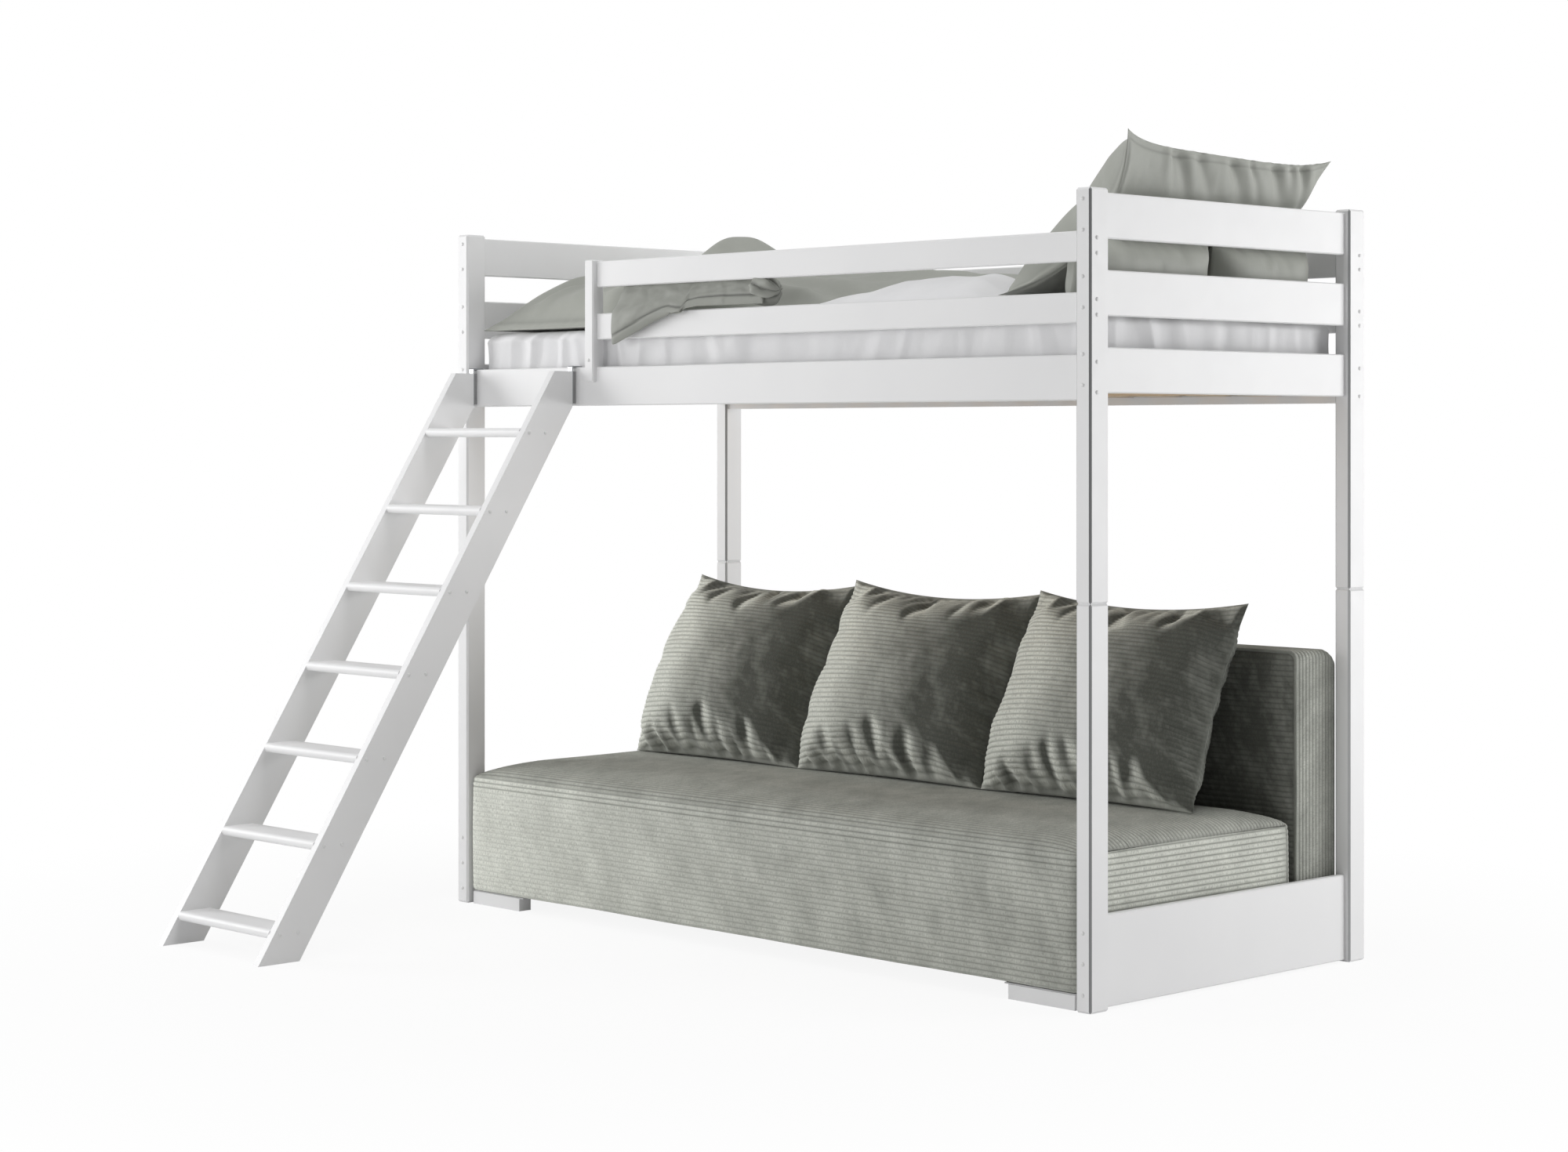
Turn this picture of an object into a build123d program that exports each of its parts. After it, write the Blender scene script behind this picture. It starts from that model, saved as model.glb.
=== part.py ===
from build123d import *
import os
from math import atan, cos, degrees, pi, radians, sin, sqrt

# All sizes are in millimetres. X runs along the bed, Y from its front to its back, Z up from the floor.
# Places are measured from the front left corner of the frame until the pieces are written.

# Mattress, which sets the length and width of the whole bed
mattress_length = 2006
mattress_width = 888
mattress_thickness = 150
mattress_corner = 45
mattress_soft_edge = 28
mattress_draw_in = 5
mattress_crown = 6
mattress_end_clearance = 6
mattress_side_clearance = 6
soft_clearance = 0.5

# Heights of the frame, with the guard and side rails measured down from the posts' tops
frame_height = 1700
guard_drop = 88
side_rail_drop = 344

# Posts
post_along = 41
post_across = 60
post_chamfer = 4.5
post_joint_height = 842
dowel_diameter = 12
dowel_length = 80
dowel_clearance = 0.1
dowel_end_gap = 2

# Boards of the frame
board_thickness = 18
board_recess = 12
board_edge = 2.5
side_rail_height = 94
guard_board_height = 63
guard_gap = 64
end_board_height = 95
end_board_gap = 65
end_board_drop = 8
panel_height = 192
panel_floor_gap = 5

# Upright beside the ladder's opening
upright_start = 499
upright_along = 32
upright_depth = 36
upright_above_guard = 4
upright_lap = 37
upright_chamfer = 3
upright_screw_above_rail = 16

# Slatted base
ledger_depth = 20
ledger_height = 18
slat_count = 14
slat_width = 80
slat_thickness = 18
slat_end_gap = 2
slat_chamfer = 2
slat_row_inset = 60
strap_width = 25
strap_thickness = 1.5
strap_inset = 200

# Screws with round caps, drawn with few sides because there are many
cap_radius = 4.6
cap_proud = 1.8
cap_sides = 8
shank_radius = 3
shank_sides = 6
screw_edge_inset = 15.5
rail_screw_bite = 45
panel_screw_pitch = 64
step_screw_bite = 30

# Ladder
ladder_reach = 918
ladder_top_depth = 57.2
ladder_below_rail_top = 10
stringer_width = 94.5
stringer_thickness = 20
stringer_start = 47
ladder_outer_width = 408
step_count = 7
step_first_height = 65
step_top_drop = 150
step_depth = 90
step_thickness = 22
step_back_round = 4
step_screw_inset = 17
step_screw_spacing = 50
hook_thickness = 3
hook_width = 17
hook_fit = 0.3
hook_tongue = 25
hook_plate_length = 84
hook_bend = 2
pad_bottom_gap = 6

# Duvet, thrown in folds over the left half of the mattress
duvet_left_inset = 5
duvet_right_inset = 631
duvet_front_inset = 6
duvet_back_inset = 37
duvet_height = 225
duvet_place_shares = (0, 0.06, 0.13, 0.21, 0.29, 0.35, 0.40, 0.46, 0.55, 0.66, 0.76, 0.87, 1)
duvet_front_shares = (0, 0, 0, 0, 0, 0, 0.005, 0.005, 0.01, 0.04, 0.12, 0.34, 0.47)
duvet_fold_shares = (0, 0.10, 0.34, 0.66, 0.94, 1)
duvet_height_shares = (
    (0.05, 0.06, 0.07, 0.08, 0.08, 0.08, 0.08, 0.08, 0.08, 0.08, 0.08, 0.07, 0.06),
    (0.20, 0.30, 0.38, 0.42, 0.44, 0.44, 0.42, 0.38, 0.34, 0.30, 0.26, 0.22, 0.16),
    (0.56, 0.58, 0.60, 0.66, 0.78, 0.92, 1.00, 0.90, 0.70, 0.56, 0.48, 0.44, 0.26),
    (0.42, 0.44, 0.46, 0.50, 0.58, 0.70, 0.78, 0.68, 0.54, 0.46, 0.42, 0.38, 0.22),
    (0.48, 0.50, 0.54, 0.58, 0.66, 0.74, 0.80, 0.72, 0.60, 0.52, 0.46, 0.40, 0.22),
    (0.20, 0.22, 0.24, 0.26, 0.28, 0.30, 0.30, 0.28, 0.26, 0.24, 0.20, 0.16, 0.08),
)
fold_steps = 4

# Corner of the duvet that hangs over the lower guard rail
flap_start = 606
flap_length = 226
flap_drop = 80
flap_thickness = 9
flap_rise = 36
flap_fit = 0.5
flap_tuck = 40
flap_shoulder_share = 0.42

# White top sheet, pushed up beside the duvet
sheet_beside_duvet = 272
sheet_right_inset = 253
sheet_front_inset = 8
sheet_height = 84
sheet_edge = 5
sheet_place_shares = (0, 0.10, 0.25, 0.45, 0.62, 0.80, 0.93, 1)
sheet_width_shares = (0.10, 0.16, 0.24, 0.36, 0.41, 0.42, 0.42, 0.42)
sheet_height_shares = (0.10, 0.36, 0.66, 0.94, 1.00, 0.90, 0.30, 0.22)
sheet_fold_shares = (0, 0.30, 0.62, 1)
sheet_crest_shares = (0, 0.86, 1, 0)

# Pillows
pillow_front_inset = 101.5
pillow_back_inset = 51.5
pillow_width = 455
pillow_thickness = 140
pillow_lean = 52
pillow_middle_inset = 141
pillow_middle_above_mattress = 206
small_pillow_height = 150
small_pillow_thickness = 130
small_pillow_lean = 84
small_pillow_middle_inset = 62
small_pillow_above_mattress = 1.3
small_pillow_front_inset = 26
small_pillow_back_inset = 50
small_pillow_gap = 4
front_pillow_share = 0.56

# Sofa
sofa_side_gap = 4
sofa_front = 5
sofa_back_gap = 45
seat_bottom = 34
seat_seam_height = 322
seat_crown = 39
seat_corner = 22
seat_draw_in = 3
seat_crown_inset_shares = (0.03, 0.08, 0.16, 0.28)
seat_crown_rise_shares = (0.42, 0.72, 0.92, 1)
backrest_gap = 12
backrest_thickness = 156
backrest_height = 706
backrest_corner = 46
backrest_border_round = 8
sofa_foot_length = 185
sofa_foot_depth = 38
sofa_foot_inset = 6
sofa_foot_round = 2
foot_plate_thickness = 3
foot_plate_margin = 12
runner_width = 45
runner_inset = 330
runner_front_setback = 205

# Loose cushions of the sofa
cushion_width = 603
cushion_height = 530
cushion_thickness = 165
cushion_lean = 60
cushion_bottom_reach = 275
cushion_offsets = (-604, 0, 618)
cushion_above_seat = 1.7

# Shape of every knife-edged cushion, from its seam to its crown
cushion_inset_shares = (0, 0.025, 0.08, 0.17, 0.29, 0.43)
cushion_rise_shares = (0, 0.30, 0.56, 0.78, 0.93, 1)
cushion_bow_shares = (-0.035, -0.024, 0.002, 0.018, 0.030, 0.04)
cushion_corner_shares = (0.05, 0.14, 0.28, 0.42, 0.54, 0.60)
cushion_seam_half = 1.5
corner_steps = 5

# Sizes and places that follow from the sizes above
frame_length = mattress_length + 2 * (post_along + mattress_end_clearance)
frame_width = mattress_width + 2 * (board_recess + board_thickness + mattress_side_clearance)
side_rail_top = frame_height - side_rail_drop
guard_top = frame_height - guard_drop
mattress_left = (frame_length - mattress_length) / 2
mattress_right = frame_length - mattress_left
mattress_front = (frame_width - mattress_width) / 2
duvet_start = mattress_left + duvet_left_inset
duvet_length = mattress_length - duvet_left_inset - duvet_right_inset
duvet_front = mattress_front + duvet_front_inset
duvet_width = mattress_width - duvet_front_inset - duvet_back_inset
sheet_start = duvet_start + duvet_length - sheet_beside_duvet
sheet_length = mattress_right - sheet_right_inset - sheet_start
pillow_length = mattress_width - pillow_front_inset - pillow_back_inset
small_pillow_row = mattress_width - small_pillow_front_inset - small_pillow_back_inset - small_pillow_gap
front_pillow_length = front_pillow_share * small_pillow_row
back_pillow_length = small_pillow_row - front_pillow_length
front_pillow_start = mattress_front + small_pillow_front_inset
back_pillow_start = front_pillow_start + front_pillow_length + small_pillow_gap
sofa_length = frame_length - 2 * (post_along + sofa_side_gap)
seat_depth = frame_width - sofa_front - backrest_gap - backrest_thickness - sofa_back_gap
rail_front = board_recess
rail_back = board_recess + board_thickness
inner_left = post_along
inner_right = frame_length - post_along
stringer_right_start = stringer_start + ladder_outer_width - stringer_thickness
side_rail_bottom = side_rail_top - side_rail_height
slat_bottom = side_rail_bottom + ledger_height
slat_top = slat_bottom + slat_thickness
mattress_top = slat_top + mattress_thickness
mattress_peak = mattress_top + mattress_crown
ladder_top = side_rail_top - ladder_below_rail_top
ladder_slope = ladder_top / (ladder_reach - ladder_top_depth)
ladder_lean = atan(ladder_slope)
step_pitch = (ladder_top - step_top_drop - step_first_height) / (step_count - 1)
seat_top = seat_seam_height + seat_crown
sofa_start = (frame_length - sofa_length) / 2
backrest_front = sofa_front + seat_depth + backrest_gap
guard_lower_top = guard_top - guard_board_height - guard_gap

nodes = {}


# Simple solids
def block(x, y, z):
    """Box between pairs of limits along X, Y and Z."""
    middle = [(low + high) / 2 for low, high in (x, y, z)]
    size = [high - low for low, high in (x, y, z)]
    return Pos(*middle) * Box(*size)


def extruded(points, start, length):
    """Outline of (Y, Z) points, extruded along X from start."""
    outline = Plane.YZ * make_face(Polyline(*points, close=True))
    return Pos(start, 0, 0) * extrude(outline, length)


def group(solids):
    """Separate solids that share one node."""
    return Compound([piece.solid() for piece in solids])


def mirrored_along(piece):
    """The same piece at the other end of the bed."""
    return Pos(frame_length, 0, 0) * mirror(piece, Plane.YZ)


def mirrored_across(piece):
    """The same piece at the other side of the frame."""
    return Pos(0, frame_width, 0) * mirror(piece, Plane.XZ)


def long_board(start, end, bottom, height):
    """Board along X in the frame's front plane, with eased edges."""
    board = block((start, end), (rail_front, rail_back), (bottom, bottom + height))
    return chamfer(board.edges(), board_edge)


def end_board(bottom, height):
    """Board along Y between the left posts, with eased edges."""
    ends = (post_across, frame_width - post_across)
    board = block((rail_front, rail_back), ends, (bottom, bottom + height))
    return chamfer(board.edges(), board_edge)


# Frame
def make_posts():
    """Lower and upper posts that meet in a V joint over a dowel."""
    bore = Cylinder(dowel_diameter / 2 + dowel_clearance, dowel_length + 2 * dowel_end_gap)
    dowel = Cylinder(dowel_diameter / 2, dowel_length)
    dowels = []
    for depth, across in (("front", 0), ("back", frame_width - post_across)):
        for side, along in (("left", 0), ("right", frame_length - post_along)):
            x = (along, along + post_along)
            y = (across, across + post_across)
            lower = block(x, y, (0, post_joint_height))
            upper = block(x, y, (post_joint_height, frame_height))
            joint = Pos(along + post_along / 2, across + post_across / 2, post_joint_height)
            nodes[f"post_lower_{depth}_{side}"] = chamfer(lower.edges(), post_chamfer) - joint * bore
            nodes[f"post_upper_{depth}_{side}"] = chamfer(upper.edges(), post_chamfer) - joint * bore
            dowels.append(joint * dowel)
    nodes["post_dowels"] = group(dowels)


def make_rails():
    """Side rails, guard rails, end rails and end panels between the posts."""
    guards = (("top", guard_top), ("lower", guard_lower_top))
    side_rail = long_board(inner_left, inner_right, side_rail_bottom, side_rail_height)
    nodes["side_rail_front"] = side_rail
    nodes["side_rail_back"] = mirrored_across(side_rail)
    for name, top in guards:
        bottom = top - guard_board_height
        short = long_board(upright_start + upright_along, inner_right, bottom, guard_board_height)
        full = long_board(inner_left, inner_right, bottom, guard_board_height)
        nodes[f"guard_rail_front_{name}"] = short
        nodes[f"guard_rail_back_{name}"] = mirrored_across(full)
    pitch = end_board_height + end_board_gap
    for step, name in enumerate(("top", "middle", "bottom")):
        bottom = frame_height - end_board_drop - end_board_height - step * pitch
        rail = end_board(bottom, end_board_height)
        nodes[f"end_rail_left_{name}"] = rail
        nodes[f"end_rail_right_{name}"] = mirrored_along(rail)
    panel = end_board(panel_floor_gap, panel_height)
    nodes["end_panel_left"] = panel
    nodes["end_panel_right"] = mirrored_along(panel)


def make_guard_upright():
    """Upright that carries the guard rails' ends and straddles the side rail."""
    x = (upright_start, upright_start + upright_along)
    top = guard_top + upright_above_guard
    stick = block(x, (0, upright_depth), (side_rail_top - upright_lap, top))
    stick = chamfer(stick.edges(), upright_chamfer)
    saddle = block(x, (rail_front, rail_back), (side_rail_top - upright_lap, side_rail_top))
    nodes["guard_upright"] = stick - saddle


def make_slatted_base():
    """Ledgers on the side rails, slats across them and two straps that space the slats."""
    ledger_y = (rail_back, rail_back + ledger_depth)
    ledger = block((inner_left, inner_right), ledger_y, (side_rail_bottom, slat_bottom))
    nodes["slat_ledger_front"] = ledger
    nodes["slat_ledger_back"] = mirrored_across(ledger)
    slat_y = (rail_back + slat_end_gap, frame_width - rail_back - slat_end_gap)
    first = block((0, slat_width), slat_y, (slat_bottom, slat_top))
    first = chamfer(first.edges().filter_by(Axis.Y), slat_chamfer)
    row = frame_length - 2 * slat_row_inset - slat_width
    starts = [slat_row_inset + row * number / (slat_count - 1) for number in range(slat_count)]
    nodes["bed_slats"] = group([Pos(start, 0, 0) * first for start in starts])
    strap_x = (starts[0], starts[-1] + slat_width)
    strap_y = (strap_inset, strap_inset + strap_width)
    strap = block(strap_x, strap_y, (slat_bottom - strap_thickness, slat_bottom))
    nodes["slat_straps"] = group([strap, mirrored_across(strap)])


# Screws
def make_screw(bite):
    """Wood screw along -Z under a round cap that stands on the surface at Z zero."""
    cap = extrude(RegularPolygon(cap_radius, cap_sides), cap_proud)
    return cap + extrude(RegularPolygon(shank_radius, shank_sides), -bite)


def screws(places, turn, bite):
    """Copies of a screw at the places given, turned so that the cap faces outwards."""
    return [Pos(*place) * turn * make_screw(bite) for place in places]


def board_screw_heights(bottom, height):
    """Heights of the two screws in a board's end."""
    return (bottom + screw_edge_inset, bottom + height - screw_edge_inset)


def make_frame_screws():
    """Screws through the posts into the boards, and those of the guard upright."""
    to_left, to_right = Rot(0, -90, 0), Rot(0, 90, 0)
    to_front, to_back = Rot(90, 0, 0), Rot(-90, 0, 0)
    middle = board_recess + board_thickness / 2
    reach = post_along + rail_screw_bite
    guard_heights = []
    for top in (guard_top, guard_lower_top):
        guard_heights += board_screw_heights(top - guard_board_height, guard_board_height)
    side_heights = board_screw_heights(side_rail_bottom, side_rail_height)

    left = [(0, middle, height) for height in side_heights]
    left += [(0, frame_width - middle, height) for height in (*side_heights, *guard_heights)]
    right = [(frame_length, y, height)
             for y in (middle, frame_width - middle)
             for height in (*side_heights, *guard_heights)]
    nodes["long_rail_screws"] = group(screws(left, to_left, reach) + screws(right, to_right, reach))

    upright_places = [(upright_start, middle, height) for height in guard_heights]
    upright_reach = upright_along + rail_screw_bite
    cross_height = side_rail_top + upright_screw_above_rail
    cross_place = (upright_start + upright_along / 2, 0, cross_height)
    cross_bite = upright_depth - upright_chamfer
    nodes["guard_upright_screws"] = group(
        screws(upright_places, to_left, upright_reach) + screws([cross_place], to_front, cross_bite))

    reach = post_across + rail_screw_bite
    end_heights = []
    for step in range(3):
        drop = end_board_drop + end_board_height + step * (end_board_height + end_board_gap)
        end_heights += board_screw_heights(frame_height - drop, end_board_height)
    panel_middle = panel_floor_gap + panel_height / 2
    panel_heights = [panel_middle + step * panel_screw_pitch for step in (-1, 0, 1)]
    for name, heights in (("end_rail_screws", end_heights), ("end_panel_screws", panel_heights)):
        front = [(x, 0, height) for x in (middle, frame_length - middle) for height in heights]
        back = [(x, frame_width, height) for x, y, height in front]
        nodes[name] = group(screws(front, to_front, reach) + screws(back, to_back, reach))


# Ladder
def stringer_front(height):
    """Place across the bed of the ladder's front edge at a height."""
    return -ladder_reach + height / ladder_slope


def make_ladder():
    """Two stringers cut to the floor and to the side rail, with flat steps between them."""
    foot = stringer_width / sin(ladder_lean)
    back_cut = (ladder_reach - foot) * ladder_slope
    outline = (
        (-ladder_reach, 0),
        (foot - ladder_reach, 0),
        (0, back_cut),
        (0, ladder_top),
        (stringer_front(ladder_top), ladder_top),
    )
    nodes["ladder_stringer_left"] = extruded(outline, stringer_start, stringer_thickness)
    nodes["ladder_stringer_right"] = extruded(outline, stringer_right_start, stringer_thickness)

    inside = stringer_start + stringer_thickness
    width = stringer_right_start - inside
    right_places = []
    for number in range(step_count):
        height = step_first_height + number * step_pitch
        front = stringer_front(height)
        nodes[f"ladder_step_{number + 1}"] = Pos(inside, front, height) * make_step(width)
        for offset in (step_screw_inset, step_screw_inset + step_screw_spacing):
            right_places.append((stringer_right_start + stringer_thickness, front + offset, height))
    left_places = [(stringer_start, y, z) for x, y, z in right_places]
    bite = stringer_thickness + step_screw_bite
    nodes["ladder_step_screws"] = group(
        screws(left_places, Rot(0, -90, 0), bite) + screws(right_places, Rot(0, 90, 0), bite))


def make_step(width):
    """Flat step with a round nose in front, its nose at Y zero and half its thickness at Z zero."""
    half = step_thickness / 2
    nose = ThreePointArc((half, -half), (0, 0), (half, half))
    back = step_depth - step_back_round
    corner = step_back_round * (1 - sqrt(0.5))
    outline = Curve() + [
        nose,
        Line((half, half), (back, half)),
        ThreePointArc((back, half), (step_depth - corner, half - corner), (step_depth, half - step_back_round)),
        Line((step_depth, half - step_back_round), (step_depth, step_back_round - half)),
        ThreePointArc((step_depth, step_back_round - half), (step_depth - corner, corner - half), (back, -half)),
        Line((back, -half), (half, -half)),
    ]
    return extrude(Plane.YZ * make_face(outline), width)


def make_ladder_hooks():
    """Steel straps that hang the stringers on the side rail, with pads that keep them off its face."""
    inner = rail_back + hook_fit
    outer = inner + hook_thickness
    under = side_rail_top + hook_fit
    over = under + hook_thickness
    outline = (
        (0, ladder_top - hook_plate_length),
        (hook_thickness, ladder_top - hook_plate_length),
        (hook_thickness, under),
        (inner, under),
        (inner, side_rail_top - hook_tongue),
        (outer, side_rail_top - hook_tongue),
        (outer, over - hook_bend),
        (outer - hook_bend, over),
        (hook_bend, over),
        (0, over - hook_bend),
    )
    pads = []
    pad_y = (hook_thickness, rail_front - hook_fit)
    pad_z = (ladder_top - hook_plate_length + pad_bottom_gap, ladder_top)
    inset = (stringer_thickness - hook_width) / 2
    for side, start in (("left", stringer_start), ("right", stringer_right_start)):
        nodes[f"ladder_hook_{side}"] = extruded(outline, start + inset, hook_width)
        pads.append(block((start + inset, start + inset + hook_width), pad_y, pad_z))
    nodes["ladder_hook_pads"] = group(pads)


# Soft pieces
def skin(rings):
    """Solid with a skin of small flat facets between stacked rings of points, and a flat face at each end."""
    count = len(rings[0])
    faces = []
    for low, high in zip(rings, rings[1:]):
        for near in range(count):
            far = (near + 1) % count
            faces.append(make_face(Polyline(low[near], low[far], high[far], close=True)))
            faces.append(make_face(Polyline(low[near], high[far], high[near], close=True)))
    ends = [make_face(Polyline(*ring, close=True)) for ring in (rings[0], rings[-1])]
    return Solid(Shell([facet.face() for facet in faces + ends]))


def soft_outline(half_x, half_y, corner, bow, height):
    """Ring with round corners, its sides bowed out at the middle, or drawn in below zero."""
    turns = [pi / 2 * step / corner_steps for step in range(corner_steps, -1, -1)]
    quarter = [(half_x - corner * (1 - cos(turn)), half_y - corner * (1 - sin(turn))) for turn in turns]
    right = [(0, half_y + bow), *quarter, (half_x + bow, 0), *[(x, -y) for x, y in reversed(quarter)]]
    return [(x, y, height) for x, y in right] + [(-x, -y, height) for x, y in right]


def knife_edge_cushion(width, height, thickness):
    """Cushion that lies flat, with drawn-in sides, pointed corners, a seam and a crown on both faces."""
    rows = zip(cushion_inset_shares, cushion_rise_shares, cushion_bow_shares, cushion_corner_shares)
    rings = []
    for inset, rise, bow, corner in rows:
        half_x = width / 2 - inset * height
        half_y = height / 2 - inset * height
        level = cushion_seam_half + rise * (thickness / 2 - cushion_seam_half)
        rings.append(soft_outline(half_x, half_y, corner * half_y, bow * height, level))
    lower = [[(x, y, -z) for x, y, z in ring] for ring in reversed(rings)]
    return skin(lower + rings)


def padded_block(half_x, half_y, corner, levels):
    """Pad stacked from levels of (height, inset), with the same round in every corner."""
    return skin([soft_outline(half_x - inset, half_y - inset, corner, 0, height) for height, inset in levels])


def make_mattress():
    """Mattress with softened edges, drawn-in sides and a low crown."""
    soft = mattress_soft_edge
    levels = (
        (slat_top, soft / 2),
        (slat_top + soft / 2, 0),
        (slat_top + soft, 0),
        (slat_top + mattress_thickness / 2, mattress_draw_in),
        (mattress_top - soft, 0),
        (mattress_top - soft / 2, soft / 8),
        (mattress_top - soft / 8, soft / 2),
        (mattress_top, soft),
        (mattress_peak, mattress_width / 4),
    )
    pad = padded_block(mattress_length / 2, mattress_width / 2, mattress_corner, levels)
    nodes["mattress"] = Pos(frame_length / 2, frame_width / 2, 0) * pad


def eased_line(places, heights):
    """Points of a soft line that rises and falls between the places given and is level at each."""
    points = [(places[0], heights[0])]
    for start, end, low, high in zip(places, places[1:], heights, heights[1:]):
        for step in range(1, fold_steps + 1):
            share = step / fold_steps
            points.append((start + (end - start) * share, low + (high - low) * (1 - cos(pi * share)) / 2))
    return points


def fold_ring(along, base, places, heights):
    """Ring across the bed over a flat base, with a soft line of folds on top."""
    line = eased_line(places, heights)
    ring = [(along, places[-1], base), (along, places[0], base)]
    return ring + [(along, y, base + z) for y, z in line]


def make_duvet():
    """Duvet in folds, with the corner that hangs over the lower guard rail."""
    base = mattress_peak + soft_clearance
    back = duvet_front + duvet_width
    rings = []
    for place, front_share, *height_shares in zip(duvet_place_shares, duvet_front_shares, *duvet_height_shares):
        front = duvet_front + front_share * duvet_width
        places = [front + share * (back - front) for share in duvet_fold_shares]
        heights = [share * duvet_height for share in height_shares]
        rings.append(fold_ring(duvet_start + place * duvet_length, base, places, heights))
    nodes["duvet"] = skin(rings) + make_duvet_flap()


def make_duvet_flap():
    """Corner that passes between the guard rails and hangs in front of the lower one."""
    outside = rail_front - flap_fit
    over = guard_lower_top + flap_fit
    x = (flap_start, flap_start + flap_length)
    bridge = block(x, (outside - flap_thickness, duvet_front + flap_tuck), (over, over + flap_rise))
    shoulder = x[0] + flap_shoulder_share * flap_length
    outline = Polyline(
        (x[0], over), (x[1], over), (shoulder, over - flap_drop / 2), (x[0], over - flap_drop), close=True)
    hanging = extrude(Plane.XZ * make_face(outline), flap_thickness)
    return bridge + Pos(0, outside, 0) * hanging


def make_top_sheet():
    """White sheet pushed up into a long soft mound, with its end under the leaning pillow."""
    base = mattress_peak + soft_clearance
    front = mattress_front + sheet_front_inset
    rings = []
    for place, width, height in zip(sheet_place_shares, sheet_width_shares, sheet_height_shares):
        places = [front + share * width * duvet_width for share in sheet_fold_shares]
        heights = [sheet_edge + share * height * (sheet_height - sheet_edge) for share in sheet_crest_shares]
        rings.append(fold_ring(sheet_start + place * sheet_length, base, places, heights))
    nodes["top_sheet"] = skin(rings)


def make_pillows():
    """Large pillow that leans over two small ones at the right end."""
    across = Rot(0, 0, 90)
    large = across * knife_edge_cushion(pillow_length, pillow_width, pillow_thickness)
    across_middle = mattress_front + pillow_front_inset + pillow_length / 2
    height = mattress_peak + pillow_middle_above_mattress
    middle = Pos(mattress_right - pillow_middle_inset, across_middle, height)
    nodes["bed_pillow_leaning"] = middle * Rot(0, -pillow_lean, 0) * large
    rise = mattress_top + small_pillow_above_mattress + small_pillow_height / 2
    small = (("front", front_pillow_start, front_pillow_length), ("back", back_pillow_start, back_pillow_length))
    for name, start, length in small:
        pillow = across * knife_edge_cushion(length, small_pillow_height, small_pillow_thickness)
        place = Pos(mattress_right - small_pillow_middle_inset, start + length / 2, rise)
        nodes[f"bed_pillow_{name}"] = place * Rot(0, -small_pillow_lean, 0) * pillow


# Sofa
def make_sofa_seat():
    """Seat block with rounded corners, sides that draw in and a crown that rises from the side seams."""
    soft = seat_corner
    levels = [
        (seat_bottom, soft / 2),
        (seat_bottom + soft / 2, seat_draw_in / 2),
        (seat_bottom + soft, 0),
        ((seat_bottom + seat_seam_height) / 2, seat_draw_in),
        (seat_seam_height - 2 * soft, 0),
        (seat_seam_height - soft / 2, seat_draw_in / 2),
        (seat_seam_height, seat_draw_in),
    ]
    for inset, rise in zip(seat_crown_inset_shares, seat_crown_rise_shares):
        levels.append((seat_seam_height + rise * seat_crown, seat_draw_in + inset * seat_depth))
    pad = padded_block(sofa_length / 2, seat_depth / 2, seat_corner, levels)
    nodes["sofa_seat"] = Pos(frame_length / 2, sofa_front + seat_depth / 2, 0) * pad


def make_sofa_backrest():
    """Backrest with a boxed border, a large round at its upper back edge and softened seams."""
    front, back = backrest_front, backrest_front + backrest_thickness
    block_x = (sofa_start, sofa_start + sofa_length)
    pad = block(block_x, (front, back), (seat_bottom, backrest_height))
    upper = pad.edges().filter_by(Axis.X).group_by(Axis.Z)[-1].sort_by(Axis.Y)
    pad = fillet(upper[-1], backrest_corner)
    pad = fillet(pad.faces().sort_by(Axis.Y)[0].edges(), backrest_border_round)
    nodes["sofa_backrest"] = pad


def make_sofa_base():
    """Block feet under the seat and the backrest, and the runners that the seat slides on."""
    start = sofa_start + sofa_foot_inset
    front_y = (sofa_front + sofa_foot_inset, sofa_front + sofa_foot_inset + sofa_foot_depth)
    back_edge = backrest_front + backrest_thickness - sofa_foot_inset
    back_y = (back_edge - sofa_foot_depth, back_edge)
    x = (start, start + sofa_foot_length)
    plate_x = (start, start + sofa_foot_length + foot_plate_margin)
    plate_y = (front_y[0] + foot_plate_margin / 4, front_y[1] + foot_plate_margin)
    foot_top = seat_bottom - foot_plate_thickness
    front_foot = fillet(block(x, front_y, (0, foot_top)).edges().filter_by(Axis.Z), sofa_foot_round)
    back_foot = fillet(block(x, back_y, (0, seat_bottom)).edges().filter_by(Axis.Z), sofa_foot_round)
    plate = block(plate_x, plate_y, (foot_top, seat_bottom))
    nodes["sofa_feet_front"] = group([front_foot, mirrored_along(front_foot)])
    nodes["sofa_feet_back"] = group([back_foot, mirrored_along(back_foot)])
    nodes["sofa_foot_plates"] = group([plate, mirrored_along(plate)])
    runner_x = (sofa_start + runner_inset, sofa_start + runner_inset + runner_width)
    runner = block(runner_x, (sofa_front + runner_front_setback, back_edge), (0, seat_bottom))
    nodes["sofa_runners"] = group([runner, mirrored_along(runner)])


def make_sofa_cushions():
    """Three loose cushions that stand on the seat and lean on the backrest."""
    lean = radians(cushion_lean)
    middle_y = backrest_front - cushion_bottom_reach + cushion_height / 2 * cos(lean)
    middle_z = seat_top + cushion_above_seat + cushion_height / 2 * sin(lean)
    for name, offset in zip(("left", "middle", "right"), cushion_offsets):
        pad = knife_edge_cushion(cushion_width, cushion_height, cushion_thickness)
        place = Pos(frame_length / 2 + offset, middle_y, middle_z)
        nodes[f"sofa_cushion_{name}"] = place * Rot(degrees(lean), 0, 0) * pad


make_posts()
make_rails()
make_guard_upright()
make_slatted_base()
make_frame_screws()
make_ladder()
make_ladder_hooks()
make_mattress()
make_duvet()
make_top_sheet()
make_pillows()
make_sofa_seat()
make_sofa_backrest()
make_sofa_base()
make_sofa_cushions()

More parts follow.
